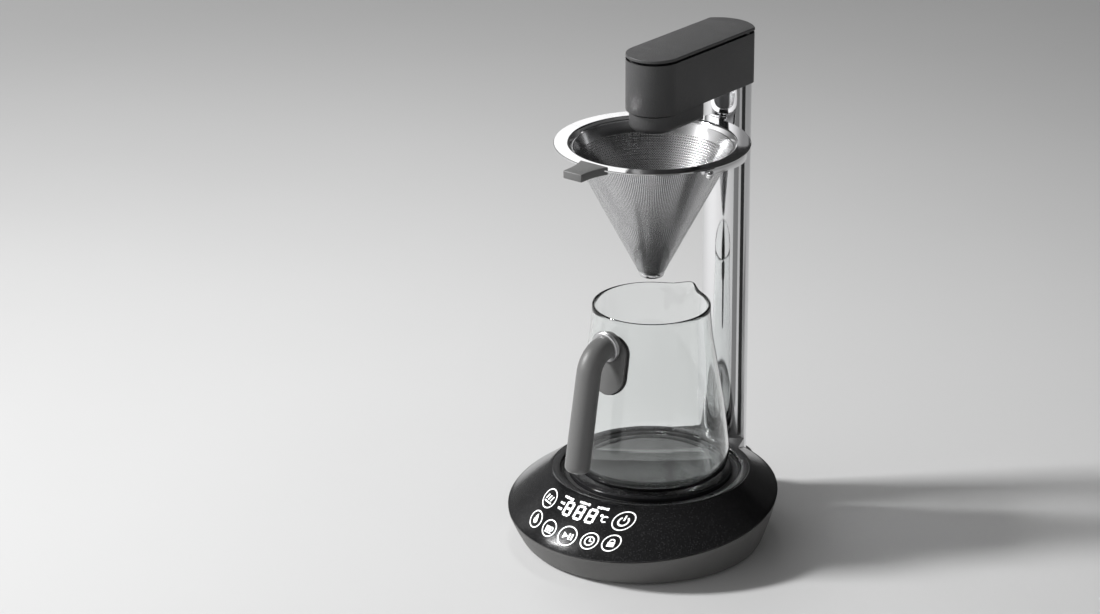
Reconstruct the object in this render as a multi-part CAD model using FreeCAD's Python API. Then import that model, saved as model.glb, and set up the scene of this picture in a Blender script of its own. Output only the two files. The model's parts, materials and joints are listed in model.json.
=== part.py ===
"""Electric pour-over brewer: a round heated base, an oval chrome column at the rear,
a water head over the middle, a steel cone filter hung in a half-ring carrier and a
glass carafe on a hot plate.

Units are millimetres.  The origin is on the table, on the carafe's axis.  +Z is up,
+Y is the rear (towards the column) and +X is the right-hand side.  Everything is
mirrored about the YZ plane, apart from what is packed inside the base.
"""
import FreeCAD
import Part
import math
import os
from FreeCAD import Vector as V

# ---------------------------------------------------------------- driving dimensions
SEAM_R = 100.0            # radius of the seam between the lower housing and the top shell
SEAM_Y = -9.7             # the seam's centre lies forward of the carafe's axis
SEAM_Z = 33.6             # height of that centre
SEAM_TILT = 6.4           # degrees; the seam is low at the front and high at the rear
BOTTOM_R = 88.0
BOTTOM_Y = -9.4
FLOOR_GAP = 1.5           # the cover's underside above the table
WALL = 2.5
WELL_Z = 54.0             # height of the collar around the hot plate
COLLAR_R = 72.3
COLLAR_IN = 66.6
PLATE_R = 60.0
PLATE_TOP = WELL_Z + 0.5

COLUMN_Y = 90.2
COLUMN_A = 18.9           # half width of the oval column, along X
COLUMN_B = 13.8           # half depth, along Y
COLUMN_WALL = 1.2
COLUMN_FOOT_Z = 18.0
LOBE_A = 24.0             # the rear lobe of the lower housing, which holds the column
LOBE_B = 18.9
LOBE_TOP = 36.0

HEAD_Z = 330.2
HEAD_TOP = 368.3
LID_Z = 370.1
LID_TOP = 372.3
HEAD_R = 20.4             # half width of the head, and radius of its front end
HEAD_Y = 1.7              # centre of that front end
HEAD_CORNER_Y = 94.5
HEAD_CROWN_Y = 104.0
HEAD_WALL = 2.2
NOZZLE_Z = 316.2
NOZZLE_REAR = 38.0
NOZZLE_INSET = 2.5
RISER_R = 4.0
RISER_X = 5.0             # the riser stands a little to the right inside the column
RISER_FOOT_Z = 26.0
RISER_TOP = 350.0

FLANGE_Z = 306.2          # top of the filter's flange
FLANGE_R = 70.7
FLANGE_IN = 61.6
FLANGE_UNDER = 304.9
CONE_TOP = 302.9
CONE_TOP_R = 59.6
CONE_TIP = 207.0
CONE_TIP_R = 9.4
CONE_GAP = 2.0            # from the outer cone's line to the inner cone's
TIP_Z = 203.6
TAB_END_Y = -91.5
TAB_LOW = 302.0
TAB_HIGH = 307.8
RING_IN = 64.5            # the carrier's half ring
RING_OUT = 67.5
RING_TOP = 304.6
RING_SWEEP = 111.0        # degrees to each side of the column
CARRIER_SCREW_Z = (295.6, 301.4)
STUD_R = 3.1
STUD_Z = 301.2
STUD_BACK = 3.2              # degrees from the ring's end to its ball
BAND_LOW = 285.0             # below the lowest point of the half ring
RING_HINGE_Y, RING_HINGE_Z = -11.5, 300.0
RING_RISE = 5.5              # degrees, underside of the half ring
SLIDE_HALF = 61.0            # half the straight way out between the ring's ends
NECK_R = 60.7                # the flange's neck, which passes between them

CARAFE_Z = PLATE_TOP + 0.3
RIM_Z = 182.6
RIM_R = 43.3
GLASS = 1.8
GLASS_SIDE = ((45.1, 157.8), (47.4, 144.4), (50.1, 128.9), (53.7, 106.7),
              (55.6, 90.8), (57.0, 78.0), (57.9, 67.5))     # radius and height down the wall
SPOUT_R, SPOUT_Y = 9.8, 40.0                # the spout's rounding at the rim
SPOUT_ROOT_R, SPOUT_ROOT_Y, SPOUT_ROOT_Z = 6.5, 37.5, 158.0
GRIP_ROOT_Y, GRIP_ROOT_Z = -52.6, 165.2     # where the grip leaves its pad
GRIP_LEAN = 0.11                            # its fall for each millimetre forward

SCREW_HOLE_R = 1.55
RETAINER_ANGLES = (45, 135, 225, 315)       # the four screws under the hot plate
RETAINER_PITCH = 72.3
PIPE_BORE = 2.8
THROAT_A, THROAT_B = 12.0, 8.0              # oval passage from the column into the head
HEAD_SCREW_X, HEAD_SCREW_LOW = 14.8, 316.0
NOZZLE_SCREW_X, NOZZLE_SCREW_Y, NOZZLE_SCREW_LOW = 9.0, 27.0, 323.0
HEAD_CUT = 340.0                            # above the head's floor, for its cutting tools
RISER_END_Z = 327.0
SPRAY_HOLE_R = 0.7
INLET_DEPTH, INLET_WELL = 17.6, 11.6
FAIRING_FALL = 5.5                          # degrees
EPS = 0.01
GRIP_R = 9.0
PAD_LOW = 127.0
PAD_HIGH = 172.0
PAD_HALF = 14.0
PAD_THICK = 4.5
PAD_GASKET = 0.8

HEATER_R = 40.0
HEATER_TUBE = 4.2
HEATER_GAP = 34           # degrees left open to each side of the front
FLOW_R = 30.5
FLOW_GAP = 24
HEATER_Z = 46.75
HOSE_OUT = 5.9
HOSE_IN = 4.0
BOSS_ANGLES = (20, 160, 235, 305)
BOSS_PITCH = 82.0
BOSS_JOIN = 26.0          # where the lower and upper screw bosses meet
FOOT_ANGLES = (45, 135, 225, 315)
FOOT_PITCH = 70.0
PUMP_X, PUMP_Y = -38.0, -42.0
PIPE_Z = 12.0             # height of the pump's and the tank's spouts
TANK = (-62.0, -2.0, -4.0, 52.0)
TANK_LOW = 6.6
TANK_LIP = 33.0
PORT_X, PORT_Z = -8.0, 12.0
INLET_Z = 20.0
INLET_FACE_X = -95.8

OUT = {}


# ---------------------------------------------------------------- helpers
def node(function):
    """Register a function under its own name: it makes the node of that name."""
    OUT[function.__name__] = function
    return function


def cyl(r, low, high, x=0.0, y=0.0):
    return Part.makeCylinder(r, high - low, V(x, y, low))


def tube(r_out, r_in, low, high, x=0.0, y=0.0):
    return cyl(r_out, low, high, x, y).cut(cyl(r_in, low - 1, high + 1, x, y))


def box(x0, x1, y0, y1, z0, z1):
    return Part.makeBox(x1 - x0, y1 - y0, z1 - z0, V(x0, y0, z0))


def turned(points, sweep=360.0, x=0.0, y=0.0):
    """Solid of revolution about the vertical line at x, y, from (radius, height) corners."""
    corners = [V(x + r, y, z) for r, z in points]
    face = Part.Face(Part.makePolygon(corners + corners[:1]))
    return face.revolve(V(x, y, 0), V(0, 0, 1), sweep)


def oval(a, b, low, high, y=COLUMN_Y):
    """Vertical prism with the column's oval section."""
    curve = Part.Ellipse(V(0, y, low), a, b).toShape()
    return Part.Face(Part.Wire([curve])).extrude(V(0, 0, high - low))


def oval_tube(a, b, wall, low, high):
    return oval(a, b, low, high).cut(oval(a - wall, b - wall, low - 1, high + 1))


def fused(first, *rest):
    for piece in rest:
        first = first.fuse(piece)
    return first


def around(angles, pitch, y0=BOTTOM_Y):
    """Centres on a circle, about the bottom's own centre unless y0 says otherwise."""
    for degrees in angles:
        a = math.radians(degrees)
        yield pitch * math.cos(a), y0 + pitch * math.sin(a)


def hose_path(points, bend):
    """Straight runs joined by tangent arcs of radius bend."""
    pts = [V(*p) for p in points]
    edges, last = [], pts[0]
    for before, corner, after in zip(pts, pts[1:], pts[2:]):
        to_a = (before - corner).normalize()
        to_b = (after - corner).normalize()
        half = math.acos(max(-1, min(1, to_a.dot(to_b)))) / 2
        reach = bend / math.tan(half)
        start, end = corner + to_a * reach, corner + to_b * reach
        middle = (to_a + to_b).normalize() * (bend / math.sin(half) - bend)
        edges.append(Part.LineSegment(last, start).toShape())
        edges.append(Part.Arc(start, corner + middle, end).toShape())
        last = end
    edges.append(Part.LineSegment(last, pts[-1]).toShape())
    return Part.Wire(edges)


def swept(points, bend, r):
    path = hose_path(points, bend)
    start, second = V(*points[0]), V(*points[1])
    ring = Part.Wire([Part.makeCircle(r, start, second - start)])
    return path.makePipeShell([ring], True, False)


def hose(points, bend, r_out, r_in):
    return swept(points, bend, r_out).cut(swept(points, bend, r_in))


def seam_circle(r):
    """Circle in the tilted seam plane."""
    ring = Part.makeCircle(r, V(0, SEAM_Y, SEAM_Z))
    ring.rotate(V(0, SEAM_Y, SEAM_Z), V(1, 0, 0), SEAM_TILT)
    return Part.Wire([ring])


def flat_circle(r, y, z):
    return Part.Wire([Part.makeCircle(r, V(0, y, z))])


def under_seam():
    """Everything below the seam plane, as a big block."""
    block = box(-150, 150, SEAM_Y - 150, SEAM_Y + 150, SEAM_Z - 100, SEAM_Z)
    block.rotate(V(0, SEAM_Y, SEAM_Z), V(1, 0, 0), SEAM_TILT)
    return block


def bowl(inset, low):
    """The lower housing's outside, shrunk by inset, from height low up to the seam."""
    lean = (SEAM_R - BOTTOM_R) / (SEAM_Z - FLOOR_GAP)
    foot = BOTTOM_R + lean * (low - FLOOR_GAP)
    rings = [flat_circle(foot - inset, BOTTOM_Y, low), seam_circle(SEAM_R - inset)]
    return Part.makeLoft(rings, True, True)


def shell_core(depth):
    """The top shell's outside, sunk by depth: a leaning cone from seam to collar."""
    rings = [seam_circle(SEAM_R - 1.35 * depth),
             flat_circle(COLLAR_R + 0.5 - 0.3 * depth, 0, WELL_Z - depth)]
    return Part.makeLoft(rings, True, True)


def head_outline(inset, z, rear=None):
    """Closed outline of the head: round front, straight sides, shallow rear arc."""
    r = HEAD_R - inset
    corner = (HEAD_CORNER_Y if rear is None else rear) - inset
    crown = (HEAD_CROWN_Y if rear is None else rear + 0.4) - inset
    front = Part.Arc(V(-r, HEAD_Y, z), V(0, HEAD_Y - r, z), V(r, HEAD_Y, z))
    back = Part.Arc(V(r, corner, z), V(0, crown, z), V(-r, corner, z))
    return Part.Wire([front.toShape(),
                      Part.LineSegment(V(r, HEAD_Y, z), V(r, corner, z)).toShape(),
                      back.toShape(),
                      Part.LineSegment(V(-r, corner, z), V(-r, HEAD_Y, z)).toShape()])


def head_block(inset, low, high, rear=None):
    return Part.Face(head_outline(inset, low, rear)).extrude(V(0, 0, high - low))


def upright_edges(shape, x_min):
    """The vertical straight edges at the head's two rear corners."""
    picked = []
    for edge in shape.Edges:
        a, b = edge.BoundBox.ZMin, edge.BoundBox.ZMax
        if b - a > 1 and edge.BoundBox.XLength < EPS and edge.BoundBox.YLength < EPS:
            if abs(edge.BoundBox.XMin) > x_min and edge.BoundBox.YMin > HEAD_Y + 5:
                picked.append(edge)
    return picked


def glass_profile(offset, low, high):
    """Edges of the carafe's half section, moved out by offset, ready to be turned."""
    side = [(RIM_R, RIM_Z)] + list(GLASS_SIDE)
    points = [V(r + offset, 0, z) for r, z in side]
    points[0].z = high
    curve = Part.BSplineCurve()
    curve.interpolate(points)
    r_foot = 49.0
    foot = V(r_foot + offset * 0.6, 0, low)
    knee = V(56.3 + offset, 0, low + 3.2)
    turn = Part.Arc(points[-1], knee, foot)
    lines = [Part.LineSegment(foot, V(0, 0, low)), Part.LineSegment(V(0, 0, low), V(0, 0, high)),
             Part.LineSegment(V(0, 0, high), points[0])]
    return Part.Wire([curve.toShape(), turn.toShape()] + [line.toShape() for line in lines])


def glass_body(offset, low, high=RIM_Z):
    face = Part.Face(glass_profile(offset, low, high))
    return face.revolve(V(0, 0, 0), V(0, 0, 1), 360)


def spout_body(offset, top):
    """Pouring lip at the rear of the rim: a leaning cone that grows out of the wall."""
    low = Part.Wire([Part.makeCircle(SPOUT_ROOT_R + offset, V(0, SPOUT_ROOT_Y, SPOUT_ROOT_Z))])
    high = Part.Wire([Part.makeCircle(SPOUT_R + offset, V(0, SPOUT_Y, top))])
    return Part.makeLoft([low, high], True, True)


def pad_prism(half, low, high, y0=-75.0, y1=-30.0):
    """Upright stadium, seen from the front, that cuts out the handle's pad."""
    middle = box(-half, half, y0, y1, low + half, high - half)
    ends = [Part.makeCylinder(half, y1 - y0, V(0, y0, z), V(0, 1, 0))
            for z in (low + half, high - half)]
    return fused(middle, *ends)


# ---------------------------------------------------------------- base: casing
@node
def lower_housing():
    outside = fused(bowl(0, FLOOR_GAP), oval(LOBE_A, LOBE_B, FLOOR_GAP, LOBE_TOP))
    inside = bowl(WALL, FLOOR_GAP)
    lobe = oval(LOBE_A - 2, LOBE_B - 2, FLOOR_GAP, LOBE_TOP - 2)
    rear = oval(COLUMN_A + 0.1, COLUMN_B + 0.1, LOBE_TOP - 3, SEAM_Z + 30)
    wall = outside.cut(inside).cut(lobe).cut(rear)
    ledge = cyl(BOTTOM_R - 1, 4.0, 6.5, 0, BOTTOM_Y).cut(cyl(78.0, 3, 8, 0, BOTTOM_Y))
    ledge = ledge.cut(oval(LOBE_A - 2, LOBE_B - 2, 3, 8))
    bosses = [cyl(4.0, 4.0, BOSS_JOIN, x, y) for x, y in around(BOSS_ANGLES, BOSS_PITCH)]
    body = fused(wall, ledge, *bosses)
    for x, y in around(BOSS_ANGLES, BOSS_PITCH):
        body = body.cut(cyl(SCREW_HOLE_R, 0, 60, x, y))
    window = box(-110, -80, BOTTOM_Y - 13.2, BOTTOM_Y + 13.2, INLET_Z - 7.2, INLET_Z + 7.2)
    return body.cut(window)


@node
def bottom_cover():
    plate = fused(cyl(BOTTOM_R - WALL - 0.2, FLOOR_GAP, 4.0, 0, BOTTOM_Y),
                  oval(LOBE_A - 2.2, LOBE_B - 2.2, FLOOR_GAP, 4.0))
    for x, y in around(FOOT_ANGLES, FOOT_PITCH):
        plate = plate.cut(cyl(7.05, 1, 2.7, x, y))
    for x, y in around(BOSS_ANGLES, BOSS_PITCH):
        plate = plate.cut(cyl(3.1, 1, 3.3, x, y)).cut(cyl(SCREW_HOLE_R, 1, 5, x, y))
    for i in range(7):
        plate = plate.cut(box(-22, 22, -44 + 6 * i, -41.5 + 6 * i, 1, 5))
    posts = [cyl(3.0, 4.0, 10.0, x, y) for x in (28, 57) for y in (-52, -18)]
    posts += [cyl(4.0, 4.0, TANK_LOW, x, y) for x in (-50, -12) for y in (6, 42)]
    return fused(plate, *posts)


@node
def rubber_feet():
    return Part.Compound([cyl(7.0, 0, 2.7, x, y) for x, y in around(FOOT_ANGLES, FOOT_PITCH)])


@node
def bottom_screws():
    screws = []
    for x, y in around(BOSS_ANGLES, BOSS_PITCH):
        head = cyl(2.8, 1.7, 3.3, x, y).cut(box(x - 2, x + 2, y - 0.4, y + 0.4, 1, 2.5))
        screws.append(fused(head, cyl(1.5, 3.3, BOSS_JOIN + 7, x, y)))
    return Part.Compound(screws)


@node
def top_shell():
    outside = shell_core(0)
    shell = outside.cut(shell_core(WALL)).cut(cyl(70.0, 30, 60))
    shell = shell.cut(cyl(COLLAR_R + 0.05, WELL_Z - 1.5, 60))
    bosses = [cyl(3.5, BOSS_JOIN, 60, x, y) for x, y in around(BOSS_ANGLES, BOSS_PITCH)]
    for x, y in around(RETAINER_ANGLES, RETAINER_PITCH, 0):
        bosses.append(cyl(2.2, 46.0, 60, x, y))
    bosses = [boss.common(outside).cut(cyl(70.0, 30, 60)) for boss in bosses]
    shell = fused(shell, *bosses).cut(cyl(COLLAR_R + 0.05, WELL_Z - 1.5, 60))
    for x, y in around(BOSS_ANGLES, BOSS_PITCH):
        shell = shell.cut(cyl(SCREW_HOLE_R, 20, BOSS_JOIN + 7.5, x, y))
    for x, y in around(RETAINER_ANGLES, RETAINER_PITCH, 0):
        shell = shell.cut(cyl(1.05, 40, 51, x, y))
    return shell.cut(oval(COLUMN_A + 0.3, COLUMN_B + 0.3, 20, 60))


@node
def column_fairing():
    """Flat wedge on the slope in front of the column."""
    plan = [V(-32.5, 64.0, 30), V(32.5, 64.0, 30), V(21.0, 88.0, 30), V(-21.0, 88.0, 30)]
    wedge = Part.Face(Part.makePolygon(plan + plan[:1])).extrude(V(0, 0, 30))
    slope = box(-60, 60, 0, 140, 0, 80)
    slope.rotate(V(0, 0, 0), V(1, 0, 0), -FAIRING_FALL)
    slope.translate(V(0, 60, WELL_Z + 0.1))
    wedge = wedge.cut(slope).cut(shell_core(0)).cut(under_seam())
    wedge = wedge.cut(cyl(COLLAR_R + 0.9, 30, 70))
    wedge = wedge.cut(oval(COLUMN_A + 0.3, COLUMN_B + 0.3, 20, 70))
    return max(wedge.Solids, key=lambda s: s.Volume)


# ---------------------------------------------------------------- base: hot plate
@node
def well_collar():
    return turned([(COLLAR_IN, WELL_Z - 0.8), (COLLAR_R, WELL_Z), (COLLAR_R, WELL_Z - 1.5),
                   (69.7, WELL_Z - 1.5), (69.7, 46.0), (COLLAR_IN, 46.0)])


@node
def plate_seal():
    return turned([(60.2, 49.0), (66.5, 49.0), (66.5, 51.4), (65.3, 51.4), (64.2, 50.2),
                   (60.2, 50.2)])


@node
def hot_plate():
    return turned([(0, PLATE_TOP), (PLATE_R - 1.5, PLATE_TOP), (PLATE_R, PLATE_TOP - 1.5),
                   (PLATE_R, 49.0), (64.5, 49.0), (64.5, 47.8), (58.6, 47.8),
                   (58.6, PLATE_TOP - 1.5), (0, PLATE_TOP - 1.5)])


@node
def plate_retainer():
    ring = turned([(57.2, 43.9), (74.6, 43.9), (74.6, 45.9), (66.3, 45.9), (66.3, 47.7),
                   (57.2, 47.7)])
    for x, y in around(RETAINER_ANGLES, RETAINER_PITCH, 0):
        ring = ring.cut(cyl(1.05, 40, 50, x, y))
    return ring


@node
def retainer_screws():
    screws = []
    for x, y in around(RETAINER_ANGLES, RETAINER_PITCH, 0):
        screws.append(fused(cyl(2.0, 42.4, 43.9, x, y), cyl(1.0, 43.9, 50.5, x, y)))
    return Part.Compound(screws)


@node
def heat_spreader():
    return cyl(52.0, 51.0, PLATE_TOP - 1.5)


def bent_ring(r, thickness, gap):
    """Tube bent nearly to a full circle, open at the front, with two ends that turn down."""
    a0 = math.radians(-90 + gap)
    section = Part.makeCircle(thickness, V(r, 0, HEATER_Z), V(0, 1, 0))
    ring = Part.Face(Part.Wire([section])).revolve(V(0, 0, 0), V(0, 0, 1), 360 - 2 * gap)
    ring.rotate(V(0, 0, 0), V(0, 0, 1), math.degrees(a0))
    ends = []
    for side in (1, -1):
        x, y = side * r * math.cos(a0), r * math.sin(a0)
        ends.append(cyl(thickness - 0.2, 36.5, HEATER_Z, x, y))
    return fused(ring, *ends)


@node
def heater_ring():
    return bent_ring(HEATER_R, HEATER_TUBE, HEATER_GAP)


@node
def flow_tube():
    return bent_ring(FLOW_R, HEATER_TUBE, FLOW_GAP)


def flow_end(side):
    """Plan position of the flow tube's turned-down end, side -1 left or 1 right."""
    a = math.radians(FLOW_GAP - 90)
    return side * FLOW_R * math.cos(a), FLOW_R * math.sin(a)


@node
def thermostat():
    case = cyl(8.0, 45.0, 51.0)
    tabs = [box(-1.6, 1.6, y - 0.4, y + 0.4, 38.5, 45.0) for y in (-4, 4)]
    return fused(case, *tabs)


@node
def thermal_fuse():
    body = Part.makeCylinder(2.2, 16, V(-8, 18, 48.6), V(1, 0, 0))
    leads = [Part.makeCylinder(0.5, 5, V(x, 18, 48.6), V(1, 0, 0)) for x in (-12.8, 7.8)]
    return fused(body, *leads)


# ---------------------------------------------------------------- base: water circuit
def tank_block(inset, low, high):
    x0, x1, y0, y1 = TANK
    block = box(x0 + inset, x1 - inset, y0 + inset, y1 - inset, low, high)
    upright = [e for e in block.Edges if e.BoundBox.XLength + e.BoundBox.YLength < EPS]
    return block.makeFillet(8 - inset, upright)


@node
def tank_body():
    rear, front = TANK[3], TANK[2]
    body = tank_block(0, TANK_LOW, TANK_LIP).cut(tank_block(2.0, TANK_LOW + 2, 40.0))
    neck = Part.makeCylinder(5.2, 20.5, V(PORT_X, rear - 1, PORT_Z), V(0, 1, 0))
    spout = Part.makeCylinder(HOSE_IN, 8, V(PUMP_X, front + 1, PIPE_Z), V(0, -1, 0))
    body = fused(body, neck, spout)
    body = body.cut(Part.makeCylinder(3.5, 30, V(PORT_X, rear - 6, PORT_Z), V(0, 1, 0)))
    body = body.cut(Part.makeCylinder(PIPE_BORE, 16, V(PUMP_X, front + 6, PIPE_Z), V(0, -1, 0)))
    return body


@node
def tank_seal():
    return tank_block(0.3, TANK_LIP, TANK_LIP + 1).cut(tank_block(1.7, 32, 35))


@node
def tank_cover():
    return tank_block(0, TANK_LIP + 1, TANK_LIP + 3.2)


@node
def column_socket():
    """Cup in the rear lobe: it holds the column's foot and opens into the tank."""
    cup = oval(LOBE_A - 2.3, LOBE_B - 2.3, 4.2, LOBE_TOP - 2.1)
    collar = Part.makeCylinder(5.2, 5, V(PORT_X, 71.6, PORT_Z), V(0, 1, 0))
    cup = fused(cup, collar)
    cup = cup.cut(oval(COLUMN_A + 0.02, COLUMN_B + 0.02, COLUMN_FOOT_Z - 2, 60))
    cup = cup.cut(oval(14.0, 9.0, 7.0, 20))
    cup = cup.cut(Part.makeCylinder(3.5, 16, V(PORT_X, 70, PORT_Z), V(0, 1, 0)))
    return cup.cut(Part.makeCylinder(RISER_R + 0.02, 20, V(RISER_X, 66, RISER_FOOT_Z), V(0, 1, 0)))


@node
def column_lower_seal():
    return oval_tube(COLUMN_A - 0.1, COLUMN_B - 0.1, 2.6, COLUMN_FOOT_Z - 2, COLUMN_FOOT_Z)


@node
def pump_housing():
    x, y = PUMP_X, PUMP_Y
    body = cyl(15.0, 5.0, 17.0, x, y).cut(cyl(12.6, 7.2, 18, x, y))
    inlet = Part.makeCylinder(HOSE_IN, 12, V(x, y + 13.5, PIPE_Z), V(0, 1, 0))
    outlet = Part.makeCylinder(HOSE_IN, 6, V(x + 13.5, y, PIPE_Z), V(1, 0, 0))
    body = fused(body, inlet, outlet)
    body = body.cut(Part.makeCylinder(PIPE_BORE, 40, V(x, y + 11, PIPE_Z), V(0, 1, 0)))
    return body.cut(Part.makeCylinder(PIPE_BORE, 40, V(x + 11, y, PIPE_Z), V(1, 0, 0)))


@node
def pump_feet():
    return Part.Compound([cyl(3.0, 4.0, 5.0, PUMP_X + 9 * dx, PUMP_Y + 9 * dy)
                          for dx in (-1, 1) for dy in (-1, 1)])


@node
def pump_cover():
    x, y = PUMP_X, PUMP_Y
    return cyl(15.0, 17.0, 19.4, x, y).cut(cyl(SCREW_HOLE_R, 10, 25, x, y))


@node
def pump_motor():
    x, y = PUMP_X, PUMP_Y
    body = fused(cyl(12.5, 19.4, 34.0, x, y), cyl(6.0, 34.0, 36.4, x, y))
    return body.cut(cyl(SCREW_HOLE_R, 15, 34.5, x, y))


@node
def pump_impeller():
    x, y = PUMP_X, PUMP_Y
    hub = fused(cyl(3.4, 8.0, 15.2, x, y), cyl(11.2, 8.0, 9.2, x, y), cyl(1.5, 15.0, 34.2, x, y))
    blades = []
    for i in range(6):
        blade = box(x + 2.8, x + 11.0, y - 0.6, y + 0.6, 9.0, 15.0)
        blade.rotate(V(x, y, 0), V(0, 0, 1), 60 * i)
        blades.append(blade)
    return fused(hub, *blades)


@node
def suction_hose():
    return hose([(PUMP_X, -6, PIPE_Z), (PUMP_X, -22, PIPE_Z)], 1, HOSE_OUT, HOSE_IN)


@node
def pressure_hose():
    """From the pump up to the flow tube's left end."""
    x, y = flow_end(-1)
    route = [(PUMP_X + 15.5, PUMP_Y, PIPE_Z), (x, PUMP_Y, PIPE_Z), (x, y, 26), (x, y, 42)]
    return hose(route, 6, HOSE_OUT, HOSE_IN)


@node
def riser_hose():
    """From the flow tube's right end back to the riser's foot under the column."""
    x, y = flow_end(1)
    route = [(x, y, 42), (x, y, RISER_FOOT_Z), (RISER_X, 60, RISER_FOOT_Z),
             (RISER_X, 73, RISER_FOOT_Z)]
    return hose(route, 7, HOSE_OUT, HOSE_IN)


# ---------------------------------------------------------------- base: electrics
@node
def control_board():
    board = box(22, 66, -58, -14, 10.0, 11.6)
    blocks = [box(26, 42, -54, -38, 11.5, 27.0), box(46, 61, -52, -40, 11.5, 22.0),
              cyl(5.0, 11.5, 26.0, 31, -26), cyl(3.5, 11.5, 20.0, 42, -24),
              box(50, 62, -34, -28, 11.5, 19.0), box(30, 46, -19, -15, 11.5, 18.0)]
    return fused(board, *blocks)


@node
def touch_panel():
    """Curved touch film and lamps bonded under the front slope."""
    film = shell_core(WALL + 0.1).cut(shell_core(WALL + 1.5))
    film = film.common(box(-42, 42, -120, -76, 0, 80))
    return max(film.Solids, key=lambda s: s.Volume)


@node
def display_module():
    block = box(-16, 16, -7, 7, -7.0, -2.9)
    block.rotate(V(0, 0, 0), V(1, 0, 0), 40.0)
    block.translate(V(0, -88.5, 34.0))
    return block


@node
def power_inlet():
    y, back = BOTTOM_Y, INLET_FACE_X + INLET_WELL
    body = box(INLET_FACE_X, INLET_FACE_X + INLET_DEPTH, y - 13, y + 13, INLET_Z - 7, INLET_Z + 7)
    body = body.makeFillet(2.0, [e for e in body.Edges if e.BoundBox.XLength > 5])
    slot = fused(box(back - 13, back, y - 5.5, y + 5.5, INLET_Z - 4.0, INLET_Z + 4.0),
                 Part.makeCylinder(4.0, 13, V(back - 13, y - 5.5, INLET_Z), V(1, 0, 0)),
                 Part.makeCylinder(4.0, 13, V(back - 13, y + 5.5, INLET_Z), V(1, 0, 0)))
    return body.cut(slot)


@node
def inlet_pins():
    pins = []
    for dy in (-4.3, 4.3):
        y, back = BOTTOM_Y + dy, INLET_FACE_X + INLET_DEPTH
        pin = Part.makeCylinder(1.15, 9.0, V(INLET_FACE_X + 2.6, y, INLET_Z), V(1, 0, 0))
        tail = box(back, back + 6, y - 1.5, y + 1.5, INLET_Z - 0.4, INLET_Z + 0.4)
        pins += [pin, tail]
    return Part.Compound(pins)


# ---------------------------------------------------------------- column and head
@node
def column_tube():
    body = oval_tube(COLUMN_A, COLUMN_B, COLUMN_WALL, COLUMN_FOOT_Z, HEAD_Z)
    for z in CARRIER_SCREW_Z:
        body = body.cut(Part.makeCylinder(1.25, 30, V(0, 60, z), V(0, 1, 0)))
    return body.cut(Part.makeCylinder(RISER_R + 0.3, 30, V(RISER_X, 60, RISER_FOOT_Z), V(0, 1, 0)))


@node
def riser_tube():
    route = [(RISER_X, 65, RISER_FOOT_Z), (RISER_X, COLUMN_Y, RISER_FOOT_Z),
             (RISER_X, COLUMN_Y, RISER_TOP), (0, HEAD_Y, RISER_TOP), (0, HEAD_Y, RISER_END_Z)]
    return hose(route, 12, RISER_R, RISER_R - 0.7)


@node
def head_mount():
    """Plug in the column's top that the head is screwed to."""
    plug = oval(COLUMN_A - COLUMN_WALL - 0.02, COLUMN_B - COLUMN_WALL - 0.02, 312.0, HEAD_Z)
    plug = plug.cut(oval(THROAT_A, THROAT_B, 300, HEAD_CUT))
    for x in (-HEAD_SCREW_X, HEAD_SCREW_X):
        plug = plug.cut(cyl(SCREW_HOLE_R, HEAD_SCREW_LOW - 2, HEAD_CUT, x, COLUMN_Y))
    return plug


@node
def column_upper_seal():
    return oval_tube(COLUMN_A - 0.4, COLUMN_B - 0.4, 2.2, HEAD_Z, HEAD_Z + 1.4)


@node
def head_housing():
    body = head_block(0, HEAD_Z, HEAD_TOP)
    body = body.makeFillet(2.5, upright_edges(body, 15))
    cavity = head_block(HEAD_WALL, HEAD_Z + 3.2, HEAD_TOP + 5)
    body = body.cut(cavity.makeFillet(1.0, upright_edges(cavity, 12)))
    body = body.cut(oval_tube(COLUMN_A - 0.4, COLUMN_B - 0.4, 2.2, HEAD_Z - 1, HEAD_Z + 1.4))
    body = body.cut(oval(THROAT_A, THROAT_B, HEAD_Z - 1, HEAD_Z + 5))
    body = body.cut(cyl(RISER_R + 0.02, HEAD_Z - 1, HEAD_Z + 5, 0, HEAD_Y))
    for x in (-HEAD_SCREW_X, HEAD_SCREW_X):
        body = body.cut(cyl(SCREW_HOLE_R, HEAD_Z - 1, HEAD_Z + 5, x, COLUMN_Y))
    for x in (-NOZZLE_SCREW_X, NOZZLE_SCREW_X):
        body = body.cut(cyl(SCREW_HOLE_R, HEAD_Z - 1, HEAD_Z + 5, x, NOZZLE_SCREW_Y))
    return body


@node
def head_screws():
    screws = []
    places = [(side * HEAD_SCREW_X, COLUMN_Y, HEAD_SCREW_LOW) for side in (-1, 1)]
    places += [(side * NOZZLE_SCREW_X, NOZZLE_SCREW_Y, NOZZLE_SCREW_LOW) for side in (-1, 1)]
    for x, y, low in places:
        top = HEAD_Z + 3.2
        head = cyl(2.4, top, top + 1.6, x, y).cut(box(x - 2, x + 2, y - .4, y + .4, top + 1, HEAD_TOP))
        screws.append(fused(head, cyl(1.5, low, top, x, y)))
    return Part.Compound(screws)


@node
def head_lid():
    plate = head_block(0, LID_Z, LID_TOP)
    plate = plate.makeFillet(2.5, upright_edges(plate, 15))
    skirt = head_block(4.0, 362.0, LID_Z).cut(head_block(5.6, 361.0, LID_Z + 1))
    return fused(plate, skirt)


@node
def lid_seal():
    return head_block(HEAD_WALL + 0.1, 363.5, 366.5).cut(head_block(4.0, 363, 367))


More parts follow.
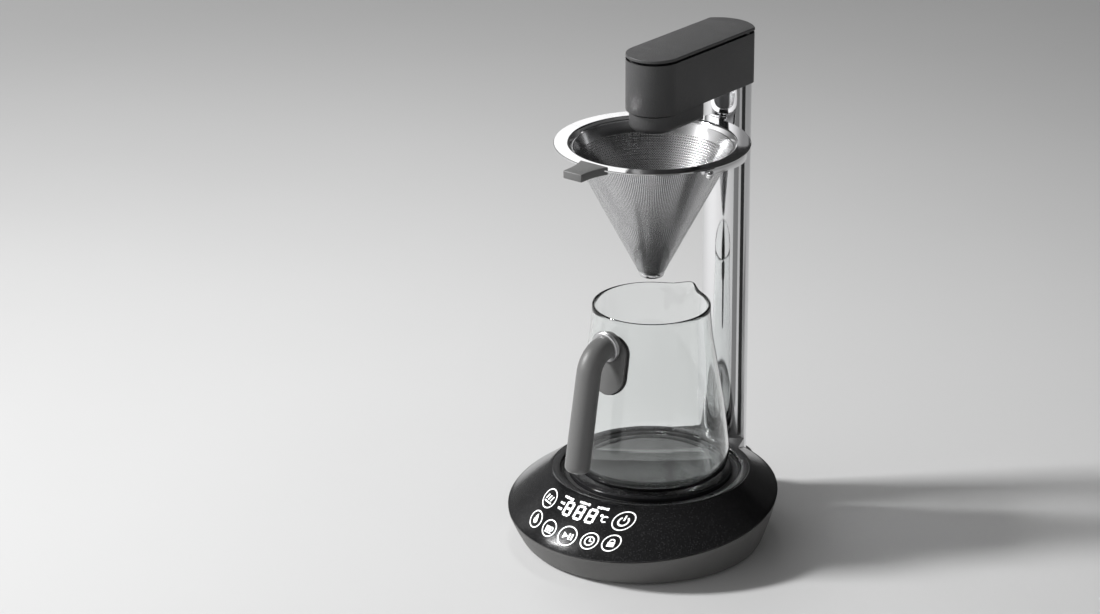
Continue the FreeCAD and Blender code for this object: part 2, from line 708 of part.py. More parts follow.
@node
def nozzle_housing():
    body = head_block(NOZZLE_INSET, NOZZLE_Z, HEAD_Z, NOZZLE_REAR + NOZZLE_INSET)
    body = body.makeFillet(6.0, upright_edges(body, 10))
    rim = [e for e in body.Edges if e.BoundBox.ZMax < NOZZLE_Z + EPS]
    body = body.makeFillet(4.0, rim)
    inner = head_block(NOZZLE_INSET + 2.2, NOZZLE_Z + 3, HEAD_Z + 1, NOZZLE_REAR + 2.5)
    body = body.cut(inner).cut(cyl(12.0, NOZZLE_Z - 1, NOZZLE_Z + 5, 0, HEAD_Y))
    y, low = NOZZLE_SCREW_Y, NOZZLE_SCREW_LOW - 1
    posts = [cyl(3.2, NOZZLE_Z + 2, HEAD_Z, x, y).cut(cyl(SCREW_HOLE_R, low, HEAD_CUT, x, y))
             for x in (-NOZZLE_SCREW_X, NOZZLE_SCREW_X)]
    return fused(body, *posts)


@node
def shower_plate():
    plate = cyl(11.9, NOZZLE_Z - 0.8, NOZZLE_Z + 1.2, 0, HEAD_Y)
    for ring_r, count in ((0, 1), (4.2, 6), (8.4, 12)):
        for i in range(count):
            a = 2 * math.pi * i / count
            plate = plate.cut(cyl(SPRAY_HOLE_R, NOZZLE_Z - 2, NOZZLE_Z + 3, ring_r * math.cos(a),
                                  HEAD_Y + ring_r * math.sin(a)))
    return plate


@node
def nozzle_chamber():
    body = turned([(0, NOZZLE_Z + 1.2), (11.4, NOZZLE_Z + 1.2), (11.4, NOZZLE_Z + 4.2),
                   (7.0, HEAD_Z - 3.2), (7.0, HEAD_Z - 0.2), (0, HEAD_Z - 0.2)], y=HEAD_Y)
    cavity = turned([(0, NOZZLE_Z), (9.6, NOZZLE_Z), (9.6, NOZZLE_Z + 3.4),
                     (3.6, HEAD_Z - 4.2), (0, HEAD_Z - 4.2)], y=HEAD_Y)
    body = body.cut(cavity).cut(cyl(3.3, 320, HEAD_CUT, 0, HEAD_Y))
    return body.cut(cyl(RISER_R + 0.02, RISER_END_Z, HEAD_CUT, 0, HEAD_Y))


# ---------------------------------------------------------------- filter carrier
@node
def filter_carrier():
    """Half ring, deep at the column, on a saddle block. Its ends open straight forward."""
    band = tube(RING_OUT, RING_IN, BAND_LOW, RING_TOP)
    keep = Part.makeCylinder(80, 40, V(0, 0, 280), V(0, 0, 1), 2 * RING_SWEEP)
    keep.rotate(V(0, 0, 0), V(0, 0, 1), 90 - RING_SWEEP)
    band = band.common(keep)
    under = box(-90, 90, -60, 120, 200, RING_HINGE_Z)
    under.rotate(V(0, RING_HINGE_Y, RING_HINGE_Z), V(1, 0, 0), -RING_RISE)
    band = band.cut(under)
    band = band.cut(box(-SLIDE_HALF, SLIDE_HALF, -90, 0, BAND_LOW, RING_TOP + 1))
    saddle = box(-9, 9, 62, 80, 292.5, RING_TOP)
    saddle = saddle.cut(cyl(RING_IN, 280, 310)).cut(oval(COLUMN_A, COLUMN_B, 280, 310))
    body = fused(band, saddle)
    for z in CARRIER_SCREW_Z:
        body = body.cut(Part.makeCylinder(2.3, 8, V(0, 60, z), V(0, 1, 0)))
        body = body.cut(Part.makeCylinder(1.25, 30, V(0, 60, z), V(0, 1, 0)))
    return body


@node
def carrier_screws():
    screws = []
    for z in CARRIER_SCREW_Z:
        head = Part.makeCylinder(2.2, 2.4, V(0, 65.4, z), V(0, 1, 0))
        socket = Part.makeCylinder(1.1, 1.4, V(0, 65.2, z), V(0, 1, 0))
        shank = Part.makeCylinder(1.2, 13.5, V(0, 67.6, z), V(0, 1, 0))
        screws.append(fused(head.cut(socket), shank))
    return Part.Compound(screws)


@node
def carrier_nut_plate():
    """Threaded plate inside the column that the carrier's screws pull on."""
    plate = box(-8, 8, 76, 84, 291, 306)
    plate = plate.common(oval(COLUMN_A - COLUMN_WALL, COLUMN_B - COLUMN_WALL, 280, 320))
    plate = plate.cut(oval(COLUMN_A - 4, COLUMN_B - 4, 280, 320))
    for z in CARRIER_SCREW_Z:
        plate = plate.cut(Part.makeCylinder(1.25, 30, V(0, 70, z), V(0, 1, 0)))
    return plate


@node
def carrier_studs():
    """Polished ball ends, set against the outside of the half ring near its two ends."""
    studs = []
    pitch = RING_OUT + STUD_R + 0.02
    for side in (-1, 1):
        a = math.radians(90 - side * (RING_SWEEP - STUD_BACK))
        studs.append(Part.makeSphere(STUD_R, V(pitch * math.cos(a), pitch * math.sin(a), STUD_Z)))
    return Part.Compound(studs)


# ---------------------------------------------------------------- filter
def tab_plan(z0, z1):
    """Grip outline: waisted sides, wide where it meets the flange."""
    y0, y1 = TAB_END_Y, -66.5
    left = Part.Arc(V(-12.5, y1, z0), V(-8.6, -81, z0), V(-8.2, y0 + 1, z0))
    right = Part.Arc(V(8.2, y0 + 1, z0), V(8.6, -81, z0), V(12.5, y1, z0))
    front = Part.Arc(V(-8.2, y0 + 1, z0), V(0, y0, z0), V(8.2, y0 + 1, z0))
    back = Part.Arc(V(12.5, y1, z0), V(0, y1 - 0.6, z0), V(-12.5, y1, z0))
    wire = Part.Wire([edge.toShape() for edge in (left, front, right, back)])
    return Part.Face(wire).extrude(V(0, 0, z1 - z0))


@node
def filter_flange():
    ring = turned([(57.0, CONE_TOP), (60.4, CONE_TOP), (NECK_R, FLANGE_UNDER),
                   (FLANGE_R, FLANGE_UNDER), (FLANGE_R, FLANGE_Z), (FLANGE_IN, FLANGE_Z),
                   (57.0, CONE_TOP + 0.7)])
    tongue = box(-5, 5, -87, -69, FLANGE_UNDER, FLANGE_Z)
    return fused(ring, tongue)


@node
def filter_tab():
    grip = tab_plan(TAB_LOW, TAB_HIGH)
    edges = [e for e in grip.Edges if e.BoundBox.ZLength < EPS]
    grip = grip.makeFillet(0.6, edges)
    return grip.cut(cyl(FLANGE_R, FLANGE_UNDER, FLANGE_Z)).cut(
        box(-5, 5, -87, -60, FLANGE_UNDER, FLANGE_Z))


def cone_wall(line_in, wall, low):
    """Thin cone, line_in inside the outer cone's line."""
    lean = (CONE_TOP_R - CONE_TIP_R) / (CONE_TOP - CONE_TIP)
    r_top = CONE_TOP_R - line_in
    r_low = CONE_TIP_R - line_in + lean * (low - CONE_TIP)
    return turned([(r_low - wall, low), (r_low, low), (r_top, CONE_TOP), (r_top - wall, CONE_TOP)])


@node
def outer_cone():
    return cone_wall(0.0, 0.8, CONE_TIP)


@node
def inner_cone():
    return cone_wall(CONE_GAP, 0.5, CONE_TIP)


@node
def filter_tip():
    return turned([(0, TIP_Z), (7.4, TIP_Z), (CONE_TIP_R, CONE_TIP - 1.5), (CONE_TIP_R, CONE_TIP),
                   (0, CONE_TIP)]).cut(turned([(0, TIP_Z + 1), (6.6, TIP_Z + 1),
                                               (6.6, 220), (0, 220)]))


# ---------------------------------------------------------------- carafe
@node
def carafe_glass():
    outside = fused(glass_body(0, CARAFE_Z), spout_body(0, RIM_Z + 2.0))
    inside = glass_body(-GLASS, CARAFE_Z + 2.6)
    neck = cyl(RIM_R - GLASS, RIM_Z - 3, RIM_Z + 20)
    spout = spout_body(-GLASS, RIM_Z + 2.0)
    above = Part.Wire([Part.makeCircle(SPOUT_R - GLASS, V(0, SPOUT_Y, RIM_Z + 2.0))])
    spout_top = Part.Face(above).extrude(V(0, 0, 5))
    return outside.cut(inside).cut(neck).cut(spout).cut(spout_top)


@node
def pad_gasket():
    ring = glass_body(PAD_GASKET, CARAFE_Z).cut(glass_body(0.05, CARAFE_Z))
    piece = ring.common(pad_prism(PAD_HALF - 0.8, PAD_LOW + 0.8, PAD_HIGH - 0.8))
    return max(piece.Solids, key=lambda s: s.Volume)


@node
def handle_pad():
    ring = glass_body(PAD_THICK, CARAFE_Z).cut(glass_body(PAD_GASKET, CARAFE_Z))
    piece = ring.common(pad_prism(PAD_HALF, PAD_LOW, PAD_HIGH))
    piece = max(piece.Solids, key=lambda s: s.Volume)
    return piece.cut(Part.makeCylinder(2.1, 40, V(0, -70, 166), V(0, 1, -0.06)))


GRIP_ROUTE = [(0, -49.0, 165.6), (0, -70.6, 163.2), (0, -87.3, 78.0)]


@node
def handle_collar():
    """Steel ring with two ridges around the handle's root."""
    root = V(0, GRIP_ROOT_Y, GRIP_ROOT_Z)
    way = V(0, -1, -GRIP_LEAN).normalize()
    rings = [Part.makeCylinder(r, 1.5, root + way * at, way)
             for r, at in ((11.6, -1.0), (10.9, 0.5), (11.6, 2.0))]
    ring = fused(*rings).cut(Part.makeCylinder(GRIP_R, 20, root - way * 8, way))
    return ring.cut(glass_body(PAD_THICK, CARAFE_Z))


@node
def carafe_handle():
    grip = swept(GRIP_ROUTE, 18, GRIP_R)
    end = min(grip.Faces, key=lambda f: f.CenterOfMass.z)
    grip = grip.makeFillet(5.0, end.Edges)
    grip = grip.cut(glass_body(PAD_THICK, CARAFE_Z))
    return max(grip.Solids, key=lambda s: s.Volume)


def main():
    os.makedirs("parts", exist_ok=True)
    for name, make in OUT.items():
        shape = make()
        solids = shape.Solids
        note = "" if shape.isValid() else "  INVALID"
        print(f"{name:20s} solids {len(solids)}  volume {shape.Volume:10.1f}{note}")
        shape.exportStep(f"parts/{name}.step")


main()
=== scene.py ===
# %% [markdown]
# # An electric pour-over brewer
# The brewer is a round heated base, an oval chrome column, a long narrow water head, a
# steel cone filter that hangs from a half ring, and a glass carafe with a soft grip.
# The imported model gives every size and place.  This lesson dresses it: each visible
# casing is modelled again with softer edges, and every surface gets its own finish.
# All lengths are metres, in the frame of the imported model.

# %% Load the frame
import json
import math
import random

import bmesh
import bpy
from mathutils import Matrix, Vector


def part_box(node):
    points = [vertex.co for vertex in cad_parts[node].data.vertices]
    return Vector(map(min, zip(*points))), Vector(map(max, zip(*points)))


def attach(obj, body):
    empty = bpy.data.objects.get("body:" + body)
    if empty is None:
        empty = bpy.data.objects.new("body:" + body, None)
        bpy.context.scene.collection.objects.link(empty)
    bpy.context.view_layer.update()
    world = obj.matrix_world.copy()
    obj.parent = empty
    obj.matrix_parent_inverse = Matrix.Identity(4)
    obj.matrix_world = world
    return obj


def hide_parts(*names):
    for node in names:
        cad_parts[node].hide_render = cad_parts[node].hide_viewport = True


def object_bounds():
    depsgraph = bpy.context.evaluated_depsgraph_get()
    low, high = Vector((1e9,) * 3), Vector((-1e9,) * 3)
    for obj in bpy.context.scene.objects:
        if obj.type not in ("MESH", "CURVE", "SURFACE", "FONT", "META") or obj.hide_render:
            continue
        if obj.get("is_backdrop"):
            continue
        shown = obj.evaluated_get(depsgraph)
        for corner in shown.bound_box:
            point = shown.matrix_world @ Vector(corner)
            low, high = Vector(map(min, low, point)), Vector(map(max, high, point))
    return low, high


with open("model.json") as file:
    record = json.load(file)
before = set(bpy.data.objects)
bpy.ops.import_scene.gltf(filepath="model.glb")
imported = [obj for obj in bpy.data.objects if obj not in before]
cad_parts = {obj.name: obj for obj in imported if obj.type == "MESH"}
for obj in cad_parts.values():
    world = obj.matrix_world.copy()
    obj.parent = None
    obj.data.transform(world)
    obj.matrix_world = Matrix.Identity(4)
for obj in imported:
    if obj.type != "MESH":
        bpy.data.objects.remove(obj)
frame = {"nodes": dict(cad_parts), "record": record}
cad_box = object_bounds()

MM = 0.001
random.seed(7)
for plain in list(bpy.data.materials):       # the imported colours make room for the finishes
    bpy.data.materials.remove(plain)

# %% [markdown]
# ## Places
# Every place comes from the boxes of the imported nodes, so nothing here has to be fitted
# by eye.  A box gives the lowest and the highest corner of a node.

# %% Read the main sizes
collar_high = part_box("well_collar")[1]
shell_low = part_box("top_shell")[0]
body_low, body_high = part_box("lower_housing")
column_low, column_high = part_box("column_tube")
head_low, head_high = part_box("head_housing")
lid_low, lid_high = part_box("head_lid")
glass_low, glass_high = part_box("carafe_glass")
flange_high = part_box("filter_flange")[1]
cone_low, cone_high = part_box("outer_cone")

WELL_Z = collar_high.z
COLLAR_R = collar_high.x
SEAM_R = body_high.x
SEAM_TILT = math.radians(6.4)
SEAM_Y = shell_low.y + SEAM_R * math.cos(SEAM_TILT)
SEAM_Z = shell_low.z + SEAM_R * math.sin(SEAM_TILT)
BOTTOM_R = 88 * MM
BOTTOM_Y = -9.4 * MM
COLUMN_Y = (column_low.y + column_high.y) / 2
COLUMN_A = column_high.x
COLUMN_B = (column_high.y - column_low.y) / 2
FLANGE_Z = flange_high.z
FLANGE_R = flange_high.x
print("seam centre", round(SEAM_Y, 4), round(SEAM_Z, 4), "column at y", round(COLUMN_Y, 4))
print("glass from", round(glass_low.z, 4), "to", round(glass_high.z, 4))

# %% [markdown]
# ## Camera
# The brewer is seen from its right front, from a little above, with a long lens from
# almost three metres away.  The camera is placed in cylindrical terms about the carafe's
# axis, and turned by its own heading, pitch and a very small roll.

# %% Camera
CAMERA_DISTANCE = 2.5216
CAMERA_AZIMUTH = math.radians(37.52)
CAMERA_HEIGHT = 1.1687
HEADING = math.radians(39.195)
PITCH = math.radians(21.425)
ROLL = math.radians(-0.295)


def place_camera():
    data = bpy.data.cameras.new("camera")
    data.sensor_width = 36
    data.lens = 121.94
    camera = bpy.data.objects.new("camera", data)
    bpy.context.scene.collection.objects.link(camera)
    turn = Matrix.Rotation(HEADING, 4, "Z") @ Matrix.Rotation(math.pi / 2 - PITCH, 4, "X")
    spot = (CAMERA_DISTANCE * math.sin(CAMERA_AZIMUTH),
            -CAMERA_DISTANCE * math.cos(CAMERA_AZIMUTH), CAMERA_HEIGHT)
    camera.matrix_world = Matrix.Translation(spot) @ turn @ Matrix.Rotation(ROLL, 4, "Z")
    bpy.context.scene.camera = camera
    return camera


camera = place_camera()
print("camera at", [round(v, 3) for v in camera.matrix_world.translation])

# %% [markdown]
# ## Small node-tree helpers
# A material is a tree of shader nodes.  Two short helpers keep the lessons below readable:
# one adds a node and sets its sockets, the other starts a material with its Principled
# shader.  Constants are set directly on the shader's own sockets.

# %% Node helpers


def add(tree, kind, props=None, **sockets):
    """Add a node; props are node settings, sockets are input values or links by name."""
    node = tree.nodes.new("ShaderNode" + kind)
    for key, value in (props or {}).items():
        setattr(node, key, value)
    for key, value in sockets.items():
        name = int(key[1:]) if key[1:].isdigit() else key.replace("_", " ")
        target = node.inputs[name]
        if isinstance(value, bpy.types.NodeSocket):
            tree.links.new(value, target)
        else:
            target.default_value = value
    return node


def start_group(name, inputs, outputs):
    """Empty node group with its named sockets; returns it with its two end nodes."""
    group = bpy.data.node_groups.new(name, "ShaderNodeTree")
    for label, kind, value in inputs:
        socket = group.interface.new_socket(label, in_out="INPUT", socket_type="NodeSocket" + kind)
        if value is not None:
            socket.default_value = value
    for label, kind in outputs:
        group.interface.new_socket(label, in_out="OUTPUT", socket_type="NodeSocket" + kind)
    return group, group.nodes.new("NodeGroupInput"), group.nodes.new("NodeGroupOutput")


def use(tree, group, **values):
    """Place a node group in a material with its own values."""
    node = tree.nodes.new("ShaderNodeGroup")
    node.node_tree = group
    for key, value in values.items():
        target = node.inputs[key.replace("_", " ")]
        if isinstance(value, bpy.types.NodeSocket):
            tree.links.new(value, target)
        else:
            target.default_value = value
    return node


def start_paint(name, **sockets):
    """Material with a Principled shader, its constants set on its own sockets."""
    paint = bpy.data.materials.new(name)
    paint.use_nodes = True
    shader = paint.node_tree.nodes["Principled BSDF"]
    for key, value in sockets.items():
        shader.inputs[key.replace("_", " ")].default_value = value
    print("finish:", name)
    return paint, paint.node_tree, shader


# %% [markdown]
# ## Shared effects
# Four effects turn up on more than one finish, so each is a node group.  `moulded_grain`
# is the fine eggshell texture of a moulded casing, as a normal and as a value.
# `smudges` varies roughness the way handling does.  `lay_dust` lightens surfaces that face
# up.  `perforation` draws rows of etched holes round a cone.

# %% Grain of a moulded surface


def make_grain():
    group, given, out = start_group(
        "moulded_grain",
        [("Scale", "Float", 900.0), ("Depth", "Float", 0.02), ("Contrast", "Float", 0.3)],
        [("Normal", "Vector"), ("Fleck", "Float")])
    place = add(group, "TexCoord").outputs["Object"]
    fine = add(group, "TexNoise", Vector=place, Scale=given.outputs["Scale"], Detail=3.0,
               Roughness=0.6)
    bump = add(group, "Bump", Height=fine.outputs[0], Strength=given.outputs["Depth"],
               Distance=0.001)
    spread = add(group, "Math", {"operation": "MULTIPLY_ADD"}, _0=fine.outputs[0],
                 _1=given.outputs["Contrast"])
    half = add(group, "Math", {"operation": "MULTIPLY_ADD"}, _0=given.outputs["Contrast"],
               _1=-0.5, _2=1.0)
    group.links.new(half.outputs[0], spread.inputs[2])
    group.links.new(bump.outputs[0], out.inputs["Normal"])
    group.links.new(spread.outputs[0], out.inputs["Fleck"])
    return group


moulded_grain = make_grain()
print("effect:", moulded_grain.name)

# %% Smudges of handling


def make_smudges():
    group, given, out = start_group(
        "smudges",
        [("Scale", "Float", 30.0), ("Clean", "Float", 0.1), ("Handled", "Float", 0.2)],
        [("Roughness", "Float")])
    place = add(group, "TexCoord").outputs["Object"]
    cloud = add(group, "TexNoise", Vector=place, Scale=given.outputs["Scale"], Detail=5.0,
                Roughness=0.62, Distortion=0.6)
    span = add(group, "MapRange", {"interpolation_type": "SMOOTHSTEP"}, Value=cloud.outputs[0],
               From_Min=0.42, From_Max=0.72, To_Min=given.outputs["Clean"],
               To_Max=given.outputs["Handled"])
    group.links.new(span.outputs[0], out.inputs["Roughness"])
    return group


smudges = make_smudges()
print("effect:", smudges.name)

# %% Dust on surfaces that face up


def make_dust():
    group, given, out = start_group(
        "lay_dust",
        [("Color", "Color", (0.1, 0.1, 0.1, 1)), ("Dust", "Color", (0.35, 0.34, 0.33, 1)),
         ("Amount", "Float", 0.05)],
        [("Color", "Color")])
    up = add(group, "SeparateXYZ", Vector=add(group, "NewGeometry").outputs["Normal"])
    place = add(group, "TexCoord").outputs["Object"]
    specks = add(group, "TexNoise", Vector=place, Scale=420.0, Detail=4.0, Roughness=0.7)
    thick = add(group, "MapRange", Value=specks.outputs[0], From_Min=0.45, From_Max=0.75,
                To_Min=0.2, To_Max=1.0)
    facing = add(group, "Math", {"operation": "MULTIPLY", "use_clamp": True},
                 _0=up.outputs["Z"], _1=given.outputs["Amount"])
    share = add(group, "Math", {"operation": "MULTIPLY", "use_clamp": True},
                _0=facing.outputs[0], _1=thick.outputs[0])
    mix = add(group, "Mix", {"data_type": "RGBA"}, _0=share.outputs[0])
    group.links.new(given.outputs["Color"], mix.inputs[6])
    group.links.new(given.outputs["Dust"], mix.inputs[7])
    group.links.new(mix.outputs[2], out.inputs["Color"])
    return group


lay_dust = make_dust()
print("effect:", lay_dust.name)

# %% [markdown]
# The etched holes follow the cone: their rows run up it, and the number of rows doubles
# where the cone is wide enough, so the holes stay about the same distance apart from tip
# to rim.  The pattern is worked out from the angle round the axis and the height.

# %% Rows of etched holes round a cone


def math_node(group, operation, a, b=None, c=None, clamp=False):
    """One step of arithmetic in a node tree; returns its output socket."""
    values = {f"_{i}": v for i, v in enumerate((a, b, c)) if v is not None}
    return add(group, "Math", {"operation": operation, "use_clamp": clamp}, **values).outputs[0]


def make_perforation():
    group, given, out = start_group(
        "perforation",
        [("Rows", "Float", 28.0), ("Pitch", "Float", 1.0 * MM),
         ("Low", "Float", 0.21), ("High", "Float", 0.29)],
        [("Hole", "Float"), ("Height", "Float")])
    spot = add(group, "SeparateXYZ", Vector=add(group, "TexCoord").outputs["Object"])
    x, y, z = spot.outputs
    r = math_node(group, "SQRT", math_node(group, "ADD", math_node(group, "MULTIPLY", x, x),
                                           math_node(group, "MULTIPLY", y, y)))
    turn = math_node(group, "DIVIDE", math_node(group, "ARCTAN2", x, y), 2 * math.pi)
    doubles = math_node(group, "CEIL", math_node(group, "LOGARITHM",
                                                 math_node(group, "DIVIDE", r, 8 * MM), 2.0))
    rows = math_node(group, "MULTIPLY", given.outputs["Rows"],
                     math_node(group, "POWER", 2.0, doubles))
    level = math_node(group, "DIVIDE", z, given.outputs["Pitch"])
    across = math_node(group, "FRACT", math_node(group, "MULTIPLY", turn, rows))
    upward = math_node(group, "FRACT", level)
    du = math_node(group, "SUBTRACT", across, 0.5)
    dv = math_node(group, "SUBTRACT", upward, 0.5)
    far = math_node(group, "SQRT", math_node(group, "ADD", math_node(group, "MULTIPLY", du, du),
                                             math_node(group, "MULTIPLY", dv, dv)))
    soft = add(group, "MapRange", {"interpolation_type": "SMOOTHSTEP"}, Value=far, From_Min=0.28,
               From_Max=0.46, To_Min=1.0, To_Max=0.0).outputs[0]
    above = math_node(group, "GREATER_THAN", z, given.outputs["Low"])
    below = math_node(group, "LESS_THAN", z, given.outputs["High"])
    field = math_node(group, "MULTIPLY", above, below)
    hole = math_node(group, "MULTIPLY", soft, field)
    group.links.new(hole, out.inputs["Hole"])
    group.links.new(math_node(group, "SUBTRACT", 1.0, hole), out.inputs["Height"])
    return group


perforation = make_perforation()
print("effect:", perforation.name)

# %% [markdown]
# ## Finishes of the casings
# The lower housing and the head are moulded in dark grey with a fine matte grain.  The
# sloped cover is a gloss black plastic with a very fine sparkle.  The collar and the hot
# plate are black too, but each with its own gloss.

# %% Matte grey and gloss black plastics


def matte_plastic(name, color, roughness, grain_scale, depth, dust):
    paint, tree, shader = start_paint(name, Specular_IOR_Level=0.45)
    grain = use(tree, moulded_grain, Scale=grain_scale, Depth=depth, Contrast=0.35)
    tint = add(tree, "Mix", {"data_type": "RGBA", "blend_type": "MULTIPLY"}, _0=1.0, _6=color)
    tree.links.new(grain.outputs["Fleck"], tint.inputs[7])
    dusty = use(tree, lay_dust, Color=tint.outputs[2], Amount=dust)
    worn = use(tree, smudges, Scale=18.0, Clean=roughness, Handled=roughness - 0.12)
    tree.links.new(dusty.outputs[0], shader.inputs["Base Color"])
    tree.links.new(worn.outputs[0], shader.inputs["Roughness"])
    tree.links.new(grain.outputs["Normal"], shader.inputs["Normal"])
    return paint


housing_grey = matte_plastic("housing_grey", (0.098, 0.097, 0.095, 1), 0.5, 900, 0.3, 0.03)
head_grey = matte_plastic("head_grey", (0.052, 0.052, 0.053, 1), 0.42, 1000, 0.35, 0.03)
collar_black = matte_plastic("collar_black", (0.008, 0.008, 0.009, 1), 0.3, 1500, 0.10, 0.03)


def gloss_black_paint():
    paint, tree, shader = start_paint("gloss_black", Specular_IOR_Level=0.5, Coat_Roughness=0.04)
    place = add(tree, "TexCoord").outputs["Object"]
    cells = add(tree, "TexVoronoi", {"feature": "F1"}, Vector=place, Scale=1500.0)
    gleam = add(tree, "SeparateColor", Color=cells.outputs["Color"])
    rare = add(tree, "MapRange", {"interpolation_type": "SMOOTHSTEP"}, Value=gleam.outputs[0],
               From_Min=0.72, From_Max=1.0, To_Min=0.0, To_Max=0.3)
    tint = add(tree, "Mix", {"data_type": "RGBA"}, _0=rare.outputs[0],
               _6=(0.0045, 0.0045, 0.005, 1), _7=(0.06, 0.06, 0.062, 1))
    dusty = use(tree, lay_dust, Color=tint.outputs[2], Amount=0.012)
    worn = use(tree, smudges, Scale=22.0, Clean=0.13, Handled=0.24)
    grain = use(tree, moulded_grain, Scale=1600.0, Depth=0.05, Contrast=0.2)
    shader.inputs["Coat Weight"].default_value = 0.35
    tree.links.new(dusty.outputs[0], shader.inputs["Base Color"])
    tree.links.new(worn.outputs[0], shader.inputs["Roughness"])
    tree.links.new(grain.outputs["Normal"], shader.inputs["Normal"])
    return paint


gloss_black = gloss_black_paint()

# %% [markdown]
# ## Finishes of the metals
# Chrome is a mirror with the faint clouding that wiping leaves.  The flange is polished
# steel, a little greyer.  The two cones are the same steel, etched with fine holes.  The holes
# are partly see-through, and the rest of each hole is painted near black as painted shade
# inside it, with a soft edge.

# %% Chrome, polished steel and perforated steel


def mirror_metal(name, color, clean, handled):
    paint, tree, shader = start_paint(name, Base_Color=color, Metallic=1.0)
    worn = use(tree, smudges, Scale=26.0, Clean=clean, Handled=handled)
    tree.links.new(worn.outputs[0], shader.inputs["Roughness"])
    return paint


column_chrome = mirror_metal("column_chrome", (0.80, 0.80, 0.81, 1), 0.06, 0.10)
polished_steel = mirror_metal("polished_steel", (0.76, 0.76, 0.765, 1), 0.06, 0.12)
screw_steel = mirror_metal("screw_steel", (0.55, 0.55, 0.56, 1), 0.25, 0.4)


def perforated_paint(name, rows, pitch, band, see_through, tone):
    """Etched steel: band is the plain strip under the rim, see_through how open the holes are."""
    paint, tree, shader = start_paint(name, Metallic=1.0)
    holes = use(tree, perforation, Rows=rows, Pitch=pitch, Low=cone_low.z + 2.2 * MM,
                High=cone_high.z - band)
    # The hole colour is painted shade: what is not see-through in a hole is painted near black for
    # the shade inside it.
    tint = add(tree, "Mix", {"data_type": "RGBA"}, _0=holes.outputs["Hole"],
               _6=(tone, tone, tone * 1.01, 1), _7=(0.07, 0.07, 0.072, 1))
    rough = add(tree, "MapRange", Value=holes.outputs["Hole"], To_Min=0.17, To_Max=0.6)
    bump = add(tree, "Bump", Height=holes.outputs["Height"], Strength=0.3, Distance=0.0003)
    cover = add(tree, "MapRange", Value=holes.outputs["Hole"], To_Min=1.0, To_Max=1 - see_through)
    tree.links.new(tint.outputs[2], shader.inputs["Base Color"])
    tree.links.new(rough.outputs[0], shader.inputs["Roughness"])
    tree.links.new(bump.outputs[0], shader.inputs["Normal"])
    tree.links.new(cover.outputs[0], shader.inputs["Alpha"])
    return paint


perforated_steel = perforated_paint("perforated_steel", 30.0, 1.1 * MM, 0.5 * MM, 0.9, 0.80)
fine_mesh_steel = perforated_paint("fine_mesh_steel", 21.0, 1.7 * MM, 7 * MM, 0.5, 0.42)
satin_steel = mirror_metal("satin_steel", (0.5, 0.5, 0.505, 1), 0.28, 0.36)

# %% [markdown]
# ## Finishes of glass, grip, plate and the rest
# The carafe is clear blown glass.  The grip and the filter's tab are a soft-touch grey
# rubber.  The plate has a smooth black coating that mirrors the glass above it.  The
# pieces inside the base are seldom seen, but each still gets the finish it really has.

# %% Glass, rubber, coating and inner finishes


def clear_glass_paint():
    paint, tree, shader = start_paint("clear_glass", Base_Color=(0.97, 0.985, 0.98, 1),
                                      Transmission_Weight=1.0, IOR=1.42, Metallic=0.0)
    haze = use(tree, smudges, Scale=14.0, Clean=0.0, Handled=0.012)
    tree.links.new(haze.outputs[0], shader.inputs["Roughness"])
    return paint


def soft_touch(name, color, roughness):
    paint, tree, shader = start_paint(name, Sheen_Weight=0.15, Sheen_Roughness=0.4,
                                      Specular_IOR_Level=0.4)
    grain = use(tree, moulded_grain, Scale=1400.0, Depth=0.18, Contrast=0.18)
    tint = add(tree, "Mix", {"data_type": "RGBA", "blend_type": "MULTIPLY"}, _0=1.0, _6=color)
    tree.links.new(grain.outputs["Fleck"], tint.inputs[7])
    dusty = use(tree, lay_dust, Color=tint.outputs[2], Amount=0.06)
    worn = use(tree, smudges, Scale=35.0, Clean=roughness, Handled=roughness - 0.1)
    tree.links.new(dusty.outputs[0], shader.inputs["Base Color"])
    tree.links.new(worn.outputs[0], shader.inputs["Roughness"])
    tree.links.new(grain.outputs["Normal"], shader.inputs["Normal"])
    return paint


clear_glass = clear_glass_paint()
grip_grey = soft_touch("grip_grey", (0.115, 0.115, 0.114, 1), 0.40)
black_silicone = soft_touch("black_silicone", (0.018, 0.018, 0.018, 1), 0.6)
hose_silicone = soft_touch("hose_silicone", (0.62, 0.62, 0.60, 1), 0.42)
inner_nylon = matte_plastic("inner_nylon", (0.58, 0.57, 0.54, 1), 0.5, 700, 0.2, 0.02)
circuit_board = matte_plastic("circuit_board", (0.03, 0.14, 0.07, 1), 0.36, 500, 0.1, 0.02)
heater_aluminium = mirror_metal("heater_aluminium", (0.66, 0.66, 0.67, 1), 0.38, 0.55)
pin_brass = mirror_metal("pin_brass", (0.78, 0.62, 0.32, 1), 0.16, 0.3)


def plate_paint():
    paint, tree, shader = start_paint("plate_black", Specular_IOR_Level=0.3)
    grain = use(tree, moulded_grain, Scale=800.0, Depth=0.03, Contrast=0.3)
    dusty = use(tree, lay_dust, Color=(0.010, 0.010, 0.011, 1), Amount=0.05)
    worn = use(tree, smudges, Scale=16.0, Clean=0.10, Handled=0.24)
    tree.links.new(dusty.outputs[0], shader.inputs["Base Color"])
    tree.links.new(worn.outputs[0], shader.inputs["Roughness"])
    tree.links.new(grain.outputs["Normal"], shader.inputs["Normal"])
    return paint


plate_black = plate_paint()


def lamp_white_paint():
    """White print of the touch symbols, lit a little from behind."""
    paint, tree, shader = start_paint("lamp_white", Emission_Strength=0.9, Roughness=0.5)
    glow = use(tree, smudges, Scale=200.0, Clean=0.92, Handled=0.84)
    tone = add(tree, "CombineColor", Red=glow.outputs[0], Green=glow.outputs[0],
               Blue=glow.outputs[0])
    tree.links.new(tone.outputs[0], shader.inputs["Base Color"])
    tree.links.new(tone.outputs[0], shader.inputs["Emission Color"])
    return paint


lamp_white = lamp_white_paint()

